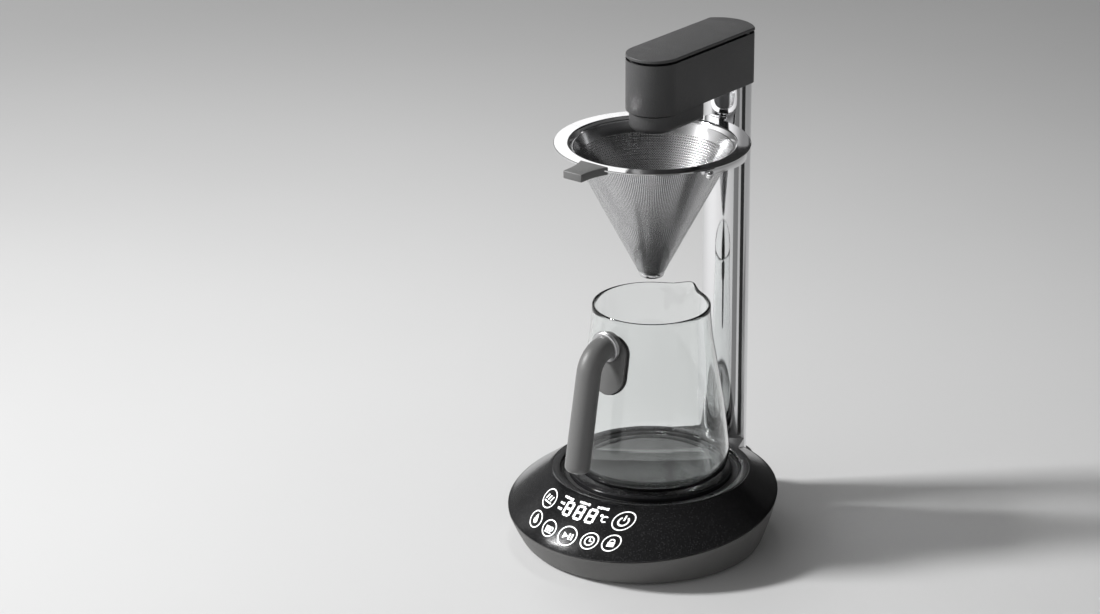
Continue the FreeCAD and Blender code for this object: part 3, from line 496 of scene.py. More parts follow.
# %% [markdown]
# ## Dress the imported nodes
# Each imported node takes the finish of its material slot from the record.  The ones whose
# shape is already right keep it, and later cells replace those that deserve softer edges.

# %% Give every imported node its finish
FINISHES = {paint.name: paint for paint in (
    housing_grey, head_grey, collar_black, gloss_black, column_chrome, polished_steel,
    screw_steel, perforated_steel, clear_glass, grip_grey, black_silicone, hose_silicone,
    inner_nylon, circuit_board, heater_aluminium, pin_brass, plate_black)}

for part in frame["record"]["subparts"]:
    mesh = frame["nodes"][part["node"]].data
    mesh.materials.clear()
    mesh.materials.append(FINISHES[part["material_slot"]])

# %% [markdown]
# ## Modelling helpers
# A turned piece starts as a short outline in the XZ plane that is spun round its axis.
# A leaning casing is a stack of circles joined by bridges.  `keep` turns a finished bmesh
# into an object, smooths it by angle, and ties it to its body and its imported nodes.

# %% Modelling helpers
STEPS = 160


def keep(bm, name, paint, body, replaces=(), sharp=35):
    """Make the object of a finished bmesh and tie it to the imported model."""
    bmesh.ops.remove_doubles(bm, verts=bm.verts, dist=1e-6)
    bmesh.ops.recalc_face_normals(bm, faces=bm.faces)
    mesh = bpy.data.meshes.new(name)
    bm.to_mesh(mesh)
    bm.free()
    mesh.polygons.foreach_set("use_smooth", [True] * len(mesh.polygons))
    mesh.set_sharp_from_angle(angle=math.radians(sharp))
    mesh.materials.append(paint)
    piece = bpy.data.objects.new(name, mesh)
    bpy.context.scene.collection.objects.link(piece)
    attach(piece, body)
    if replaces:
        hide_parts(*replaces)
    size = piece.dimensions / MM
    print(f"{name}: {len(mesh.polygons)} faces, {size.x:.1f} x {size.y:.1f} x {size.z:.1f} mm")
    return piece


def spun(outline, steps=STEPS, x=0.0, y=0.0):
    """Closed outline of (radius, height) corners, spun round the vertical line at x, y."""
    bm = bmesh.new()
    corners = [bm.verts.new((x + r, y, z)) for r, z in outline]
    edges = [bm.edges.new(pair) for pair in zip(corners, corners[1:] + corners[:1])]
    bmesh.ops.spin(bm, geom=corners + edges, cent=(x, y, 0), axis=(0, 0, 1),
                   angle=2 * math.pi, steps=steps, use_merge=True)
    bmesh.ops.remove_doubles(bm, verts=bm.verts, dist=1e-6)
    bmesh.ops.dissolve_degenerate(bm, edges=bm.edges, dist=1e-7)
    bare = [edge for edge in bm.edges if not edge.link_faces]
    bmesh.ops.delete(bm, geom=bare, context="EDGES")
    bmesh.ops.recalc_face_normals(bm, faces=bm.faces)
    return bm


def soften(bm, width, segments=3, angle=35):
    """Round every edge that turns by more than the angle."""
    limit = math.radians(angle)
    edges = [e for e in bm.edges if len(e.link_faces) == 2 and e.calc_face_angle(0) > limit]
    bmesh.ops.bevel(bm, geom=edges, offset=width, affect="EDGES", segments=segments,
                    profile=0.5, material=-1, clamp_overlap=True)
    return bm


def loop(bm, r, y, z, tilt=0.0, oval=1.0, steps=STEPS):
    """One ring of edges; tilt leans it about X, oval squeezes it along Y."""
    place = Matrix.Translation((0, y, z)) @ Matrix.Rotation(tilt, 4, "X")
    place = place @ Matrix.Diagonal((1, oval, 1, 1))
    made = bmesh.ops.create_circle(bm, radius=r, segments=steps, matrix=place)
    return list({e for v in made["verts"] for e in v.link_edges})


def skin(bm, loops, closed=True):
    """Join neighbouring rings, and the last to the first when the wall is closed."""
    for a, b in zip(loops, loops[1:] + (loops[:1] if closed else [])):
        bmesh.ops.bridge_loops(bm, edges=a + b)
    return bm


def cut(piece, tool_bm, operation="DIFFERENCE", solver="EXACT"):
    """Boolean with a throw-away tool shape, applied to the piece's mesh."""
    bmesh.ops.recalc_face_normals(tool_bm, faces=tool_bm.faces)
    mesh = bpy.data.meshes.new("tool")
    tool_bm.to_mesh(mesh)
    tool_bm.free()
    tool = bpy.data.objects.new("tool", mesh)
    bpy.context.scene.collection.objects.link(tool)
    change = piece.modifiers.new("cut", "BOOLEAN")
    change.operation, change.object, change.solver = operation, tool, solver
    bpy.context.view_layer.update()
    done = bpy.data.meshes.new_from_object(
        piece.evaluated_get(bpy.context.evaluated_depsgraph_get()))
    piece.modifiers.remove(change)
    piece.data = done
    bpy.data.objects.remove(tool)
    done.polygons.foreach_set("use_smooth", [True] * len(done.polygons))
    done.set_sharp_from_angle(angle=math.radians(35))
    return piece


def block(low, high):
    """Plain box between two corners, for cutting."""
    bm = bmesh.new()
    low, high = Vector(low), Vector(high)
    place = Matrix.Translation((low + high) / 2) @ Matrix.Diagonal((*(high - low), 1))
    bmesh.ops.create_cube(bm, size=1, matrix=place)
    return bm


print("helpers ready, circles have", STEPS, "steps")

# %% [markdown]
# ## Base casings
# The lower housing leans outwards from the table to a tilted seam, low at the front and
# high at the rear.  Rings of changing size, bridged together, follow that lean exactly,
# which no spin could, because the top ring is tilted.  A small step inwards just under
# the seam leaves the dark joint line that the real casing has.

# %% Lower housing with its rear lobe
FLOOR_GAP = body_low.z
LOBE_A, LOBE_B = 24 * MM, 18.9 * MM
LOBE_TOP = 36 * MM


def lean(t, inset=0.0):
    """Ring of the lower housing a share t of the way up to the seam."""
    return dict(r=BOTTOM_R + (SEAM_R - BOTTOM_R) * t - inset,
                y=BOTTOM_Y + (SEAM_Y - BOTTOM_Y) * t,
                z=FLOOR_GAP + (SEAM_Z - FLOOR_GAP) * t, tilt=SEAM_TILT * t)


def lower_housing():
    bm = bmesh.new()
    rings = [lean(0, 2.5 * MM), lean(0, 2.2 * MM), lean(0.03, 0.7 * MM), lean(0.09, 0.1 * MM)]
    rings += [lean(t, -0.5 * MM * math.sin(math.pi * t)) for t in (0.2, 0.35, 0.5, 0.65, 0.8)]
    rings += [lean(0.955), lean(0.975, 0.2 * MM), lean(0.985, 0.8 * MM), lean(0.985, 2.2 * MM),
              lean(0.9, 2.5 * MM)]
    skin(bm, [loop(bm, **ring) for ring in rings])
    return keep(bm, "base_body", housing_grey, "base", ["lower_housing"])


def lobe():
    """Rounded boss behind the base that carries the column."""
    bm = bmesh.new()
    squeeze = LOBE_B / LOBE_A
    rings = [(0.6, FLOOR_GAP), (0.0, FLOOR_GAP + 0.8 * MM), (0.0, LOBE_TOP - 1.4 * MM),
             (0.4, LOBE_TOP - 0.5 * MM), (1.4, LOBE_TOP), (LOBE_A / MM - 19.1, LOBE_TOP)]
    loops = [loop(bm, LOBE_A - inset * MM, COLUMN_Y, z, oval=squeeze, steps=96)
             for inset, z in rings[:-1]]
    loops.append(loop(bm, COLUMN_A + 0.15 * MM, COLUMN_Y, LOBE_TOP,
                      oval=COLUMN_B / COLUMN_A, steps=96))
    loops.append(loop(bm, COLUMN_A + 0.15 * MM, COLUMN_Y, FLOOR_GAP,
                      oval=COLUMN_B / COLUMN_A, steps=96))
    skin(bm, loops)
    return bm


base_body = lower_housing()
cut(base_body, lobe(), "UNION")
inlet_low, inlet_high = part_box("power_inlet")
cut(base_body, block((inlet_low.x - MM, inlet_low.y, inlet_low.z),
                     (inlet_high.x, inlet_high.y, inlet_high.z)))

# %% [markdown]
# The sloped cover is bridged the same way.  Its slope is very slightly crowned, so that
# reflections roll over it, and its lower edge is rounded above the joint line.  The oval
# hole for the column is cut last.

# %% Sloped gloss cover
CROWN = 0.5 * MM


def slope(t, sink=0.0):
    """Ring of the sloped cover a share t of the way up to the collar."""
    return dict(r=SEAM_R + (COLLAR_R + 0.4 * MM - SEAM_R) * t + CROWN * math.sin(math.pi * t)
                - sink * 0.6, y=SEAM_Y * (1 - t),
                z=SEAM_Z + (WELL_Z - SEAM_Z) * t - sink, tilt=SEAM_TILT * (1 - t))


def sloped_cover():
    bm = bmesh.new()
    foot = slope(0)
    rings = [dict(foot, r=SEAM_R - 2.6 * MM, z=SEAM_Z + 0.1 * MM),
             dict(foot, r=SEAM_R - 1.2 * MM, z=SEAM_Z + 0.1 * MM),
             dict(foot, r=SEAM_R - 0.35 * MM, z=SEAM_Z + 0.35 * MM),
             dict(slope(0.022), r=SEAM_R - 0.25 * MM)]
    rings += [slope(t) for t in (0.06, 0.12, 0.2, 0.3, 0.4, 0.5, 0.6, 0.7, 0.8, 0.9, 0.96)]
    rings += [slope(0.985, 0.15 * MM), dict(slope(1), r=COLLAR_R + 0.02 * MM, z=WELL_Z - 0.5 * MM),
              dict(slope(1), r=COLLAR_R + 0.02 * MM, z=WELL_Z - 2.6 * MM), slope(0.9, 2.6 * MM),
              slope(0.1, 2.6 * MM)]
    skin(bm, [loop(bm, **ring) for ring in rings])
    return keep(bm, "sloped_cover", gloss_black, "base", ["top_shell"])


def column_tool(grow, low, high):
    bm = bmesh.new()
    place = (Matrix.Translation((0, COLUMN_Y, low))
             @ Matrix.Diagonal((COLUMN_A + grow, COLUMN_B + grow, 1, 1)))
    bmesh.ops.create_circle(bm, cap_ends=True, radius=1, segments=120, matrix=place)
    lid = bmesh.ops.extrude_face_region(bm, geom=bm.faces[:])
    top = [v for v in lid["geom"] if isinstance(v, bmesh.types.BMVert)]
    bmesh.ops.translate(bm, verts=top, vec=(0, 0, high - low))
    return bm


cover = sloped_cover()
cut(cover, column_tool(0.3 * MM, 0.02, 0.07), solver="FAST")


def column_fairing():
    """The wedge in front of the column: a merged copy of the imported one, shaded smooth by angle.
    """
    bm = bmesh.new()
    bm.from_mesh(frame["nodes"]["column_fairing"].data)
    bmesh.ops.remove_doubles(bm, verts=bm.verts, dist=1e-6)
    bmesh.ops.dissolve_limit(bm, angle_limit=math.radians(1), verts=bm.verts, edges=bm.edges)
    return keep(bm, "column_wedge", gloss_black, "base", ["column_fairing"])


column_fairing()

# %% [markdown]
# ## Collar, seal and hot plate
# These three are true turned pieces, so each is one outline spun round the carafe's axis.
# The collar's and the seal's corners are rounded afterwards; the plate's edge is eased in its
# outline.

# %% Collar, seal and hot plate
plate_low, plate_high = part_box("hot_plate")
print("plate from", round(plate_low.z, 4), "to", round(plate_high.z, 4))


def mm_points(*pairs):
    return [(r * MM, z * MM) for r, z in pairs]


well = WELL_Z / MM
collar = soften(spun(mm_points((66.7, well - 0.8), (72.3, well), (72.3, well - 1.5),
                               (69.7, well - 1.5), (69.7, 46), (66.7, 46))), 0.35 * MM)
keep(collar, "well_ring", collar_black, "base", ["well_collar"])

plate = spun(mm_points((0, 54.5), (58.2, 54.5), (59.2, 54.1), (60, 53.2), (60, 49), (64.5, 49),
                       (64.5, 47.8), (58.6, 47.8), (58.6, 53), (0, 53)))
keep(plate, "warming_plate", plate_black, "base", ["hot_plate"])

seal = soften(spun(mm_points((60.2, 49.05), (66.5, 49.05), (66.5, 51.6), (65.4, 51.6),
                             (64.4, 50.3), (60.2, 50.3))), 0.25 * MM)
keep(seal, "plate_seal_ring", black_silicone, "base", ["plate_seal"])

# %% [markdown]
# ## Column
# The column is an oval tube with a mirror finish.  Facets would show in its reflections,
# so it gets many steps round, and long straight faces along its height.

# %% Chrome column


def chrome_column():
    bm = bmesh.new()
    wall = 1.2 * MM
    loops = []
    for inset, z in ((0, column_low.z), (0, column_high.z), (wall, column_high.z),
                     (wall, column_low.z)):
        a, b = COLUMN_A - inset, COLUMN_B - inset
        loops.append(loop(bm, a, COLUMN_Y, z, oval=b / a, steps=256))
    skin(bm, loops)
    return keep(bm, "oval_column", column_chrome, "base", ["column_tube"])


chrome_column()

# %% [markdown]
# ## Head
# Seen from above the head is round at the front, straight along its sides and closed by a
# shallow arc at the rear.  Its outline is spun for the front, spun again on a larger
# circle for the rear, and filled.  Extruding that face gives the casing.

# %% Head casing, lid and nozzle housing
HEAD_R = head_high.x
HEAD_Y = head_low.y + HEAD_R
HEAD_CORNER_Y = 94.5 * MM
HEAD_CROWN_Y = head_high.y


def head_face(bm, inset, z, corner=HEAD_CORNER_Y, crown=HEAD_CROWN_Y):
    """One face with the head's outline, drawn in by inset."""
    r, corner, crown = HEAD_R - inset, corner - inset, crown - inset
    start = bm.verts.new((r, HEAD_Y, z))
    bmesh.ops.spin(bm, geom=[start], cent=(0, HEAD_Y, z), axis=(0, 0, 1), angle=-math.pi,
                   steps=48, use_duplicate=False)
    rise = crown - corner
    big = (r * r + rise * rise) / (2 * rise)
    half = math.asin(min(1, r / big))
    back = bm.verts.new((r, corner, z))
    bmesh.ops.spin(bm, geom=[back], cent=(0, crown - big, z), axis=(0, 0, 1), angle=2 * half,
                   steps=24, use_duplicate=False)
    ends = [v for v in bm.verts if len(v.link_edges) == 1]
    right = sorted((v for v in ends if v.co.x > 0), key=lambda v: v.co.y)
    left = sorted((v for v in ends if v.co.x < 0), key=lambda v: v.co.y)
    bm.edges.new(right)
    bm.edges.new(left)
    return bmesh.ops.contextual_create(bm, geom=bm.edges[:])["faces"]


def head_prism(inset, low, high, **rear):
    bm = bmesh.new()
    head_face(bm, inset, low, **rear)
    raised = bmesh.ops.extrude_face_region(bm, geom=bm.faces[:])
    top = [v for v in raised["geom"] if isinstance(v, bmesh.types.BMVert)]
    bmesh.ops.translate(bm, verts=top, vec=(0, 0, high - low))
    bmesh.ops.recalc_face_normals(bm, faces=bm.faces)
    return bm


def round_corners(bm, width):
    """Round the two upright edges where the head's sides meet its rear."""
    upright = [e for e in bm.edges if abs(e.verts[0].co.z - e.verts[1].co.z) > 5 * MM
               and abs((e.verts[0].co - e.verts[1].co).xy.length) < 1e-5
               and e.calc_face_angle(0) > math.radians(20)]
    bmesh.ops.bevel(bm, geom=upright, offset=width, affect="EDGES", segments=8, profile=0.5,
                    material=-1)
    return bm


def rim_edges(bm, z):
    return [e for e in bm.edges if all(abs(v.co.z - z) < 1e-5 for v in e.verts)
            and e.calc_face_angle(0) > math.radians(40)]


def head_casing():
    bm = round_corners(head_prism(0, head_low.z, head_high.z), 2.5 * MM)
    top = max(bm.faces, key=lambda f: f.calc_center_median().z)
    bmesh.ops.inset_region(bm, faces=[top], thickness=2.2 * MM, use_even_offset=True)
    bmesh.ops.translate(bm, verts=top.verts, vec=(0, 0, -6 * MM))
    bmesh.ops.bevel(bm, geom=rim_edges(bm, head_low.z), offset=0.8 * MM, affect="EDGES",
                    segments=4, profile=0.5, material=-1)
    return keep(bm, "head_casing", head_grey, "base", ["head_housing"])


def head_cover():
    bm = round_corners(head_prism(0, lid_high.z - 2.2 * MM, lid_high.z), 2.5 * MM)
    for z, width in ((lid_high.z, 0.5), (lid_high.z - 2.2 * MM, 0.25)):
        bmesh.ops.bevel(bm, geom=rim_edges(bm, z), offset=width * MM, affect="EDGES",
                        segments=4, profile=0.5, material=-1)
    piece = keep(bm, "fill_lid", head_grey, "lid", ["head_lid"])
    # The skirt sits in the real gap under the lid plate; its black is painted shade for that gap.
    skirt = head_prism(4 * MM, lid_low.z, lid_high.z - 2.2 * MM)
    keep(skirt, "fill_lid_skirt_painted_shade", collar_black, "lid")
    return piece


head_casing()
head_cover()

nozzle_low, nozzle_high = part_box("nozzle_housing")


def nozzle_casing():
    inset = HEAD_R - nozzle_high.x
    rear = nozzle_high.y + inset
    gap = 1.1 * MM
    bm = head_prism(inset, nozzle_low.z, nozzle_high.z - gap, corner=rear,
                    crown=rear + 0.4 * MM)
    round_corners(bm, 6 * MM)
    for z, width in ((nozzle_low.z, 4.6 * MM), (nozzle_high.z - gap, 0.4 * MM)):
        bmesh.ops.bevel(bm, geom=rim_edges(bm, z), offset=width, affect="EDGES", segments=8,
                        profile=0.5, material=-1)
    piece = keep(bm, "nozzle_casing", head_grey, "base", ["nozzle_housing"])
    hole = bmesh.new()
    bmesh.ops.create_cone(hole, cap_ends=True, segments=96, radius1=12 * MM, radius2=12 * MM,
                          depth=6 * MM, matrix=Matrix.Translation((0, HEAD_Y, nozzle_low.z)))
    cut(piece, hole, solver="FAST")
    # The neck is a real band set in under the head; its black is painted shade for the gap line
    # there.
    neck = head_prism(inset + 1.2 * MM, nozzle_high.z - 2 * gap, nozzle_high.z, corner=rear,
                      crown=rear + 0.4 * MM)
    return keep(neck, "nozzle_neck_painted_shade", collar_black, "base")


nozzle_casing()

# %% [markdown]
# ## Filter
# The flange is a flat polished ring whose inner edge rolls down into the cone.  The outer
# and inner cones are thin spun walls a couple of millimetres apart, and both end in a
# small closed tip.

# %% Flange, cones and tip


def flange():
    z, r = FLANGE_Z / MM, FLANGE_R / MM
    outline = mm_points((58.4, z - 3.3), (59.6, z - 1.0), (60.2, z - 0.35), (60.9, z),
                        (61.3, z), (r - 0.7, z), (r - 0.35, z), (r, z - 0.3), (r, z - 1.0),
                        (r - 0.35, z - 1.3),
                        (60.8, z - 1.3), (60.6, z - 2.0), (60.3, z - 3.3))
    return keep(spun(outline, 192), "filter_ring", polished_steel, "filter",
                ["filter_flange"], sharp=30)


def cone(name, paint, top_r, tip_r, wall, node):
    low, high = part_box(node)
    outline = [(tip_r, low.z), (top_r, high.z), (top_r - wall, high.z), (tip_r - wall, low.z)]
    bm = spun(outline, 192)
    return keep(bm, name, paint, "filter", [node])


flange()
cone("outer_mesh_cone", perforated_steel, 59.6 * MM, 9.4 * MM, 0.8 * MM, "outer_cone")
cone("inner_mesh_cone", fine_mesh_steel, 57.6 * MM, 7.4 * MM, 0.5 * MM, "inner_cone")

tip_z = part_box("filter_tip")[0].z / MM
tip = spun(mm_points((0, tip_z), (7.0, tip_z), (8.6, tip_z + 0.8), (9.45, tip_z + 2.2),
                     (9.45, tip_z + 3.4), (6.6, tip_z + 3.4), (6.6, tip_z + 1), (0, tip_z + 1)),
           96)
keep(tip, "cone_tip", polished_steel, "filter", ["filter_tip"])

# %% [markdown]
# The tab that lifts the filter is a waisted block of soft grey rubber round the flange's
# tongue.  It starts as one box, is cut lengthways, and the cuts are drawn in for the waist.

# %% Filter tab
TAB_CUTS = 12
TAB_WAIST, TAB_FLARE = 8.2 * MM, 4.3 * MM
FLARE_START = 0.25


def tab_block():
    low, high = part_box("filter_tab")
    bm = block(low, high)
    for i in range(1, TAB_CUTS):
        y = low.y + (high.y - low.y) * i / TAB_CUTS
        geom = bm.verts[:] + bm.edges[:] + bm.faces[:]
        bmesh.ops.bisect_plane(bm, geom=geom, plane_co=(0, y, 0), plane_no=(0, 1, 0))
    for v in bm.verts:
        t = (v.co.y - low.y) / (high.y - low.y)
        half = TAB_WAIST + TAB_FLARE * max(0.0, (t - FLARE_START) / (1 - FLARE_START)) ** 2
        v.co.x = math.copysign(half, v.co.x)
    return keep(soften(bm, 0.7 * MM, 3, 50), "filter_grip", grip_grey, "filter",
                ["filter_tab"], sharp=60)


tab_block()

# %% [markdown]
# ## Carrier
# The half ring that the filter hangs in is deep where it meets the column and slim at its
# ends.  It is bridged from rectangles that shrink on their way round.

# %% Carrier and its ball ends
ring_low, ring_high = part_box("filter_carrier")
RING_TOP = ring_high.z
RING_IN, RING_OUT = 64.5 * MM, 67.5 * MM
SWEEP = math.acos(ring_low.y / RING_OUT)
RING_SLANT = math.tan(math.radians(5.5))
WAY_OUT = 61 * MM          # half the straight way out that the filter's neck slides along


def carrier():
    bm = bmesh.new()
    sections = []
    count = 80
    for i in range(count + 1):
        a = -SWEEP + 2 * SWEEP * i / count
        deep = 4.6 * MM + RING_SLANT * (RING_OUT * math.cos(a) + 11.5 * MM)
        corners = [bm.verts.new((r * math.sin(a), r * math.cos(a), z))
                   for r, z in ((RING_IN, RING_TOP), (RING_OUT, RING_TOP),
                                (RING_OUT, RING_TOP - deep), (RING_IN, RING_TOP - deep))]
        sections.append([bm.edges.new(p) for p in zip(corners, corners[1:] + corners[:1])])
    skin(bm, sections, closed=False)
    bmesh.ops.holes_fill(bm, edges=sections[0] + sections[-1], sides=4)
    bmesh.ops.recalc_face_normals(bm, faces=bm.faces)
    soften(bm, 0.5 * MM, 2, 40)
    piece = keep(bm, "half_ring", column_chrome, "base", ["filter_carrier"])
    cut(piece, block((-WAY_OUT, -40 * MM, RING_TOP - 20 * MM), (WAY_OUT, 0, RING_TOP + MM)))
    saddle = soften(block((-9 * MM, 66 * MM, RING_TOP - 12 * MM), (9 * MM, 78 * MM, RING_TOP)),
                    1.2 * MM, 3)
    keep(saddle, "ring_saddle", column_chrome, "base")
    return piece


carrier()


def balls():
    low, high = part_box("carrier_studs")
    radius = (high.z - low.z) / 2
    bm = bmesh.new()
    for side in (-1, 1):
        spot = (side * (high.x - radius), (low.y + high.y) / 2, (low.z + high.z) / 2)
        bmesh.ops.create_uvsphere(bm, u_segments=40, v_segments=24, radius=radius,
                                  matrix=Matrix.Translation(spot))
    return keep(bm, "ball_ends", column_chrome, "base", ["carrier_studs"])


balls()

# %% [markdown]
# ## Carafe
# The carafe is blown glass: thin, slightly waisted under the rim, widest just above its
# base, with a heavy bottom.  One outline goes up the outside, over the rounded lip and down
# the inside.  After the spin, the rim's rear is pulled out and up into a pouring lip.

# %% Carafe glass
GLASS = 1.8 * MM
RIM_Z = 182.6 * MM
LIP_START = 156 * MM
LIP_HALF_WIDTH = 8.5 * MM
LIP_OUT, LIP_UP = 6.4 * MM, 1.7 * MM
STEPS_ROUND = 192
SIDE = ((49.0, 54.8), (53.4, 55.8), (56.6, 59.4), (57.9, 66.0), (57.4, 75.0), (55.6, 90.8),
        (53.7, 106.7), (51.9, 118.0), (50.1, 128.9), (48.6, 137.0), (47.4, 144.4),
        (46.1, 151.5), (45.1, 158.2), (44.3, 165.0), (43.7, 172.0), (43.3, 178.0), (43.2, 181.6))


def carafe():
    wall = GLASS / MM
    outside = list(SIDE)
    inside = [(r - wall, max(z, 57.4)) for r, z in SIDE[2:]]
    lip = [(42.9, 182.3), (42.3, 182.6), (41.7, 182.3)]
    floor = [(52.0, 57.6), (47.5, 57.2), (0, 57.0)]
    bm = spun(mm_points((0, 54.8), *outside, *lip, *inside[::-1], *floor), STEPS_ROUND)
    for v in bm.verts:
        x, y, z = v.co
        height = max(0.0, min(1.0, (z - LIP_START) / (RIM_Z - LIP_START)))
        width = math.exp(-(x / LIP_HALF_WIDTH) ** 2) if y > 0 else 0.0
        pull = height ** 1.6 * width
        v.co.y += LIP_OUT * pull
        v.co.z += LIP_UP * pull * height
    return keep(bm, "carafe_vessel", clear_glass, "carafe", ["carafe_glass"],
                sharp=60)


carafe()

# %% [markdown]
# ## Carafe grip
# The grip is one soft rod: it leaves the pad almost level, turns down through a wide bend
# and ends free with a rounded tip.  A circle is carried along that route by extruding and
# turning it, so the rod keeps one thickness.

# %% Grip, pad and root ring
GRIP_R = 9.0 * MM
BEND = 18 * MM
ROOT = Vector((0, -46.5, 165.9)) * MM
CORNER = Vector((0, -70.6, 163.2)) * MM
END = Vector((0, -87.3, 78.0)) * MM


def grip():
    start, finish = (CORNER - ROOT).normalized(), (END - CORNER).normalized()
    turn = start.angle(finish)
    reach = BEND * math.tan(turn / 2)
    axis = start.cross(finish).normalized()
    bm = bmesh.new()
    facing = start.to_track_quat("Z", "Y").to_matrix().to_4x4()
    bmesh.ops.create_circle(bm, radius=GRIP_R, segments=64,
                            matrix=Matrix.Translation(ROOT) @ facing)
    tip_edges = bm.edges[:]

    def grow(move=None, spin=None, shrink=None):
        nonlocal tip_edges
        made = bmesh.ops.extrude_edge_only(bm, edges=tip_edges)["geom"]
        verts = [g for g in made if isinstance(g, bmesh.types.BMVert)]
        tip_edges = [g for g in made if isinstance(g, bmesh.types.BMEdge)]
        if spin:
            bmesh.ops.rotate(bm, verts=verts, cent=spin[0],
                             matrix=Matrix.Rotation(spin[1], 3, axis))
        if move:
            bmesh.ops.translate(bm, verts=verts, vec=move)
        if shrink:
            middle = sum((v.co for v in verts), Vector()) / len(verts)
            for v in verts:
                v.co = middle + (v.co - middle) * shrink

    bend_start = CORNER - start * reach
    grow(move=bend_start - ROOT)
    centre = bend_start + (finish - start * start.dot(finish)).normalized() * BEND
    for _ in range(20):
        grow(spin=(centre, turn / 20))
    straight = END - (CORNER + finish * reach)
    for _ in range(6):
        grow(move=(straight - finish * 5 * MM) / 6, shrink=1.005)
    last = 1.0
    for k in range(1, 9):
        a = math.pi / 2 * k / 8
        size = (GRIP_R - 5 * MM * (1 - math.cos(a))) / GRIP_R
        grow(move=finish * 5 * MM * (math.sin(a) - math.sin(a - math.pi / 16)),
             shrink=size / last)
        last = size
    bmesh.ops.contextual_create(bm, geom=tip_edges)
    rim = [e for e in bm.edges if len(e.link_faces) == 1]
    bmesh.ops.contextual_create(bm, geom=rim)
    return keep(bm, "grip_rod", grip_grey, "carafe", ["carafe_handle"], sharp=50)


grip()


def root_ring():
    """Two bright ridges round the grip's root, turned and then leant along the grip."""
    bm = bmesh.new()
    way = (CORNER - ROOT).normalized()
    lean_to = way.to_track_quat("Z", "Y").to_matrix().to_4x4()
    outline = [(9.05, 0), (11.0, 0), (11.6, 0.5), (11.6, 1.1), (10.9, 1.6), (11.6, 2.2),
               (11.6, 2.9), (11.0, 3.5), (9.05, 3.5)]
    ring = spun(mm_points(*outline), 96)
    bmesh.ops.transform(ring, verts=ring.verts,
                        matrix=Matrix.Translation(ROOT + way * 5.4 * MM) @ lean_to)
    bm.free()
    return keep(ring, "root_ring", satin_steel, "carafe",
                ["handle_collar"], sharp=60)


root_ring()


pad_low, pad_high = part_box("handle_pad")


def wall_at(z):
    """Outer radius of the glass at a height."""
    side = sorted((height * MM, r * MM) for r, height in SIDE)
    for (z0, r0), (z1, r1) in zip(side, side[1:]):
        if z0 <= z <= z1:
            return r0 + (r1 - r0) * (z - z0) / (z1 - z0)
    return side[-1][1]


def shield(name, paint, grow, gap, thick, node):
    """Stadium that hugs the glass: a flat grid pulled round, bent and thickened outwards."""
    half = (pad_high.x - pad_low.x) / 2 + grow
    middle, rise = (pad_low.z + pad_high.z) / 2, (pad_high.z - pad_low.z) / 2 + grow - half
    bm = bmesh.new()
    bmesh.ops.create_grid(bm, x_segments=28, y_segments=44, size=1)
    for v in bm.verts:
        z = v.co.y * (half + rise)
        over = max(0.0, abs(z) - rise) / half
        x = v.co.x * half * math.sqrt(max(0.0, 1 - min(1, over) ** 2))
        reach = wall_at(middle + z) + gap
        v.co = Vector((x, -math.sqrt(reach ** 2 - x ** 2), middle + z))
    bmesh.ops.remove_doubles(bm, verts=bm.verts, dist=1e-6)
    bmesh.ops.recalc_face_normals(bm, faces=bm.faces)
    if sum(f.normal.y for f in bm.faces) > 0:
        bmesh.ops.reverse_faces(bm, faces=bm.faces)
    bmesh.ops.solidify(bm, geom=bm.faces[:], thickness=-thick)
    return keep(bm, name, paint, "carafe", [node], sharp=50)


shield("grip_pad", grip_grey, -1.2 * MM, 1.6 * MM, 2.9 * MM, "handle_pad")
shield("pad_backing", black_silicone, -0.1 * MM, 0.35 * MM, 1.4 * MM,
       "pad_gasket")

# %% [markdown]
# ## Touch symbols
# The controls are white symbols lit through the gloss cover.  Each is drawn flat, as thin
# plates, and then wrapped on the slope: across becomes an angle round the base and up
# becomes a share of the way from the seam to the collar.  The signs are plain pictures.

# %% Wrapping flat marks on the slope
PRINT_LIFT = 0.06 * MM


def on_slope(u, v):
    """Point on the cover, u metres round from the front and v metres up from the seam."""
    front_run = math.hypot(SEAM_R * math.cos(SEAM_TILT) - SEAM_Y - COLLAR_R, WELL_Z - shell_low.z)
    t = v / front_run
    ring = slope(t)
    a = u / ring["r"]
    flat = Vector((math.sin(a), -math.cos(a), 0)) * ring["r"]
    spot = Matrix.Rotation(ring["tilt"], 3, "X") @ flat
    return Vector((spot.x, spot.y + ring["y"], spot.z + ring["z"]))


def wrap(bm, name):
    """Give a flat drawing a hair of thickness along the slope's own normal."""
    bmesh.ops.triangulate(bm, faces=[f for f in bm.faces if len(f.verts) > 4])
    for v in bm.verts:
        u, w = v.co.x, v.co.y
        here = on_slope(u, w)
        along = on_slope(u + MM, w) - here
        up = on_slope(u, w + MM) - here
        v.co = here + along.cross(up).normalized() * PRINT_LIFT
    faces = bm.faces[:]
    raised = bmesh.ops.extrude_face_region(bm, geom=faces)
    top = [g for g in raised["geom"] if isinstance(g, bmesh.types.BMVert)]
    bmesh.ops.translate(bm, verts=top, vec=Vector((0, -0.65, 0.76)) * 0.05 * MM)
    return keep(bm, name, lamp_white, "base", sharp=80)


def annulus(bm, u, v, r_out, r_in, steps=40):
    for r in (r_out, r_in):
        bmesh.ops.create_circle(bm, radius=r, segments=steps, matrix=Matrix.Translation((u, v, 0)))
    edges = [e for e in bm.edges if not e.link_faces]
    bmesh.ops.bridge_loops(bm, edges=edges)


def plate_at(bm, u, v, wide, tall, turn=0.0, lean_by=0.0, cuts=1):
    """Small rectangle, cut across so that it bends with the slope."""
    place = Matrix.Translation((u, v, 0)) @ Matrix.Rotation(turn, 4, "Z")
    place = place @ Matrix.Diagonal((wide / 2, tall / 2, 1, 1))
    made = bmesh.ops.create_grid(bm, x_segments=cuts, y_segments=1, size=1, matrix=place)
    for vert in made["verts"]:
        vert.co.x += lean_by * (vert.co.y - v)


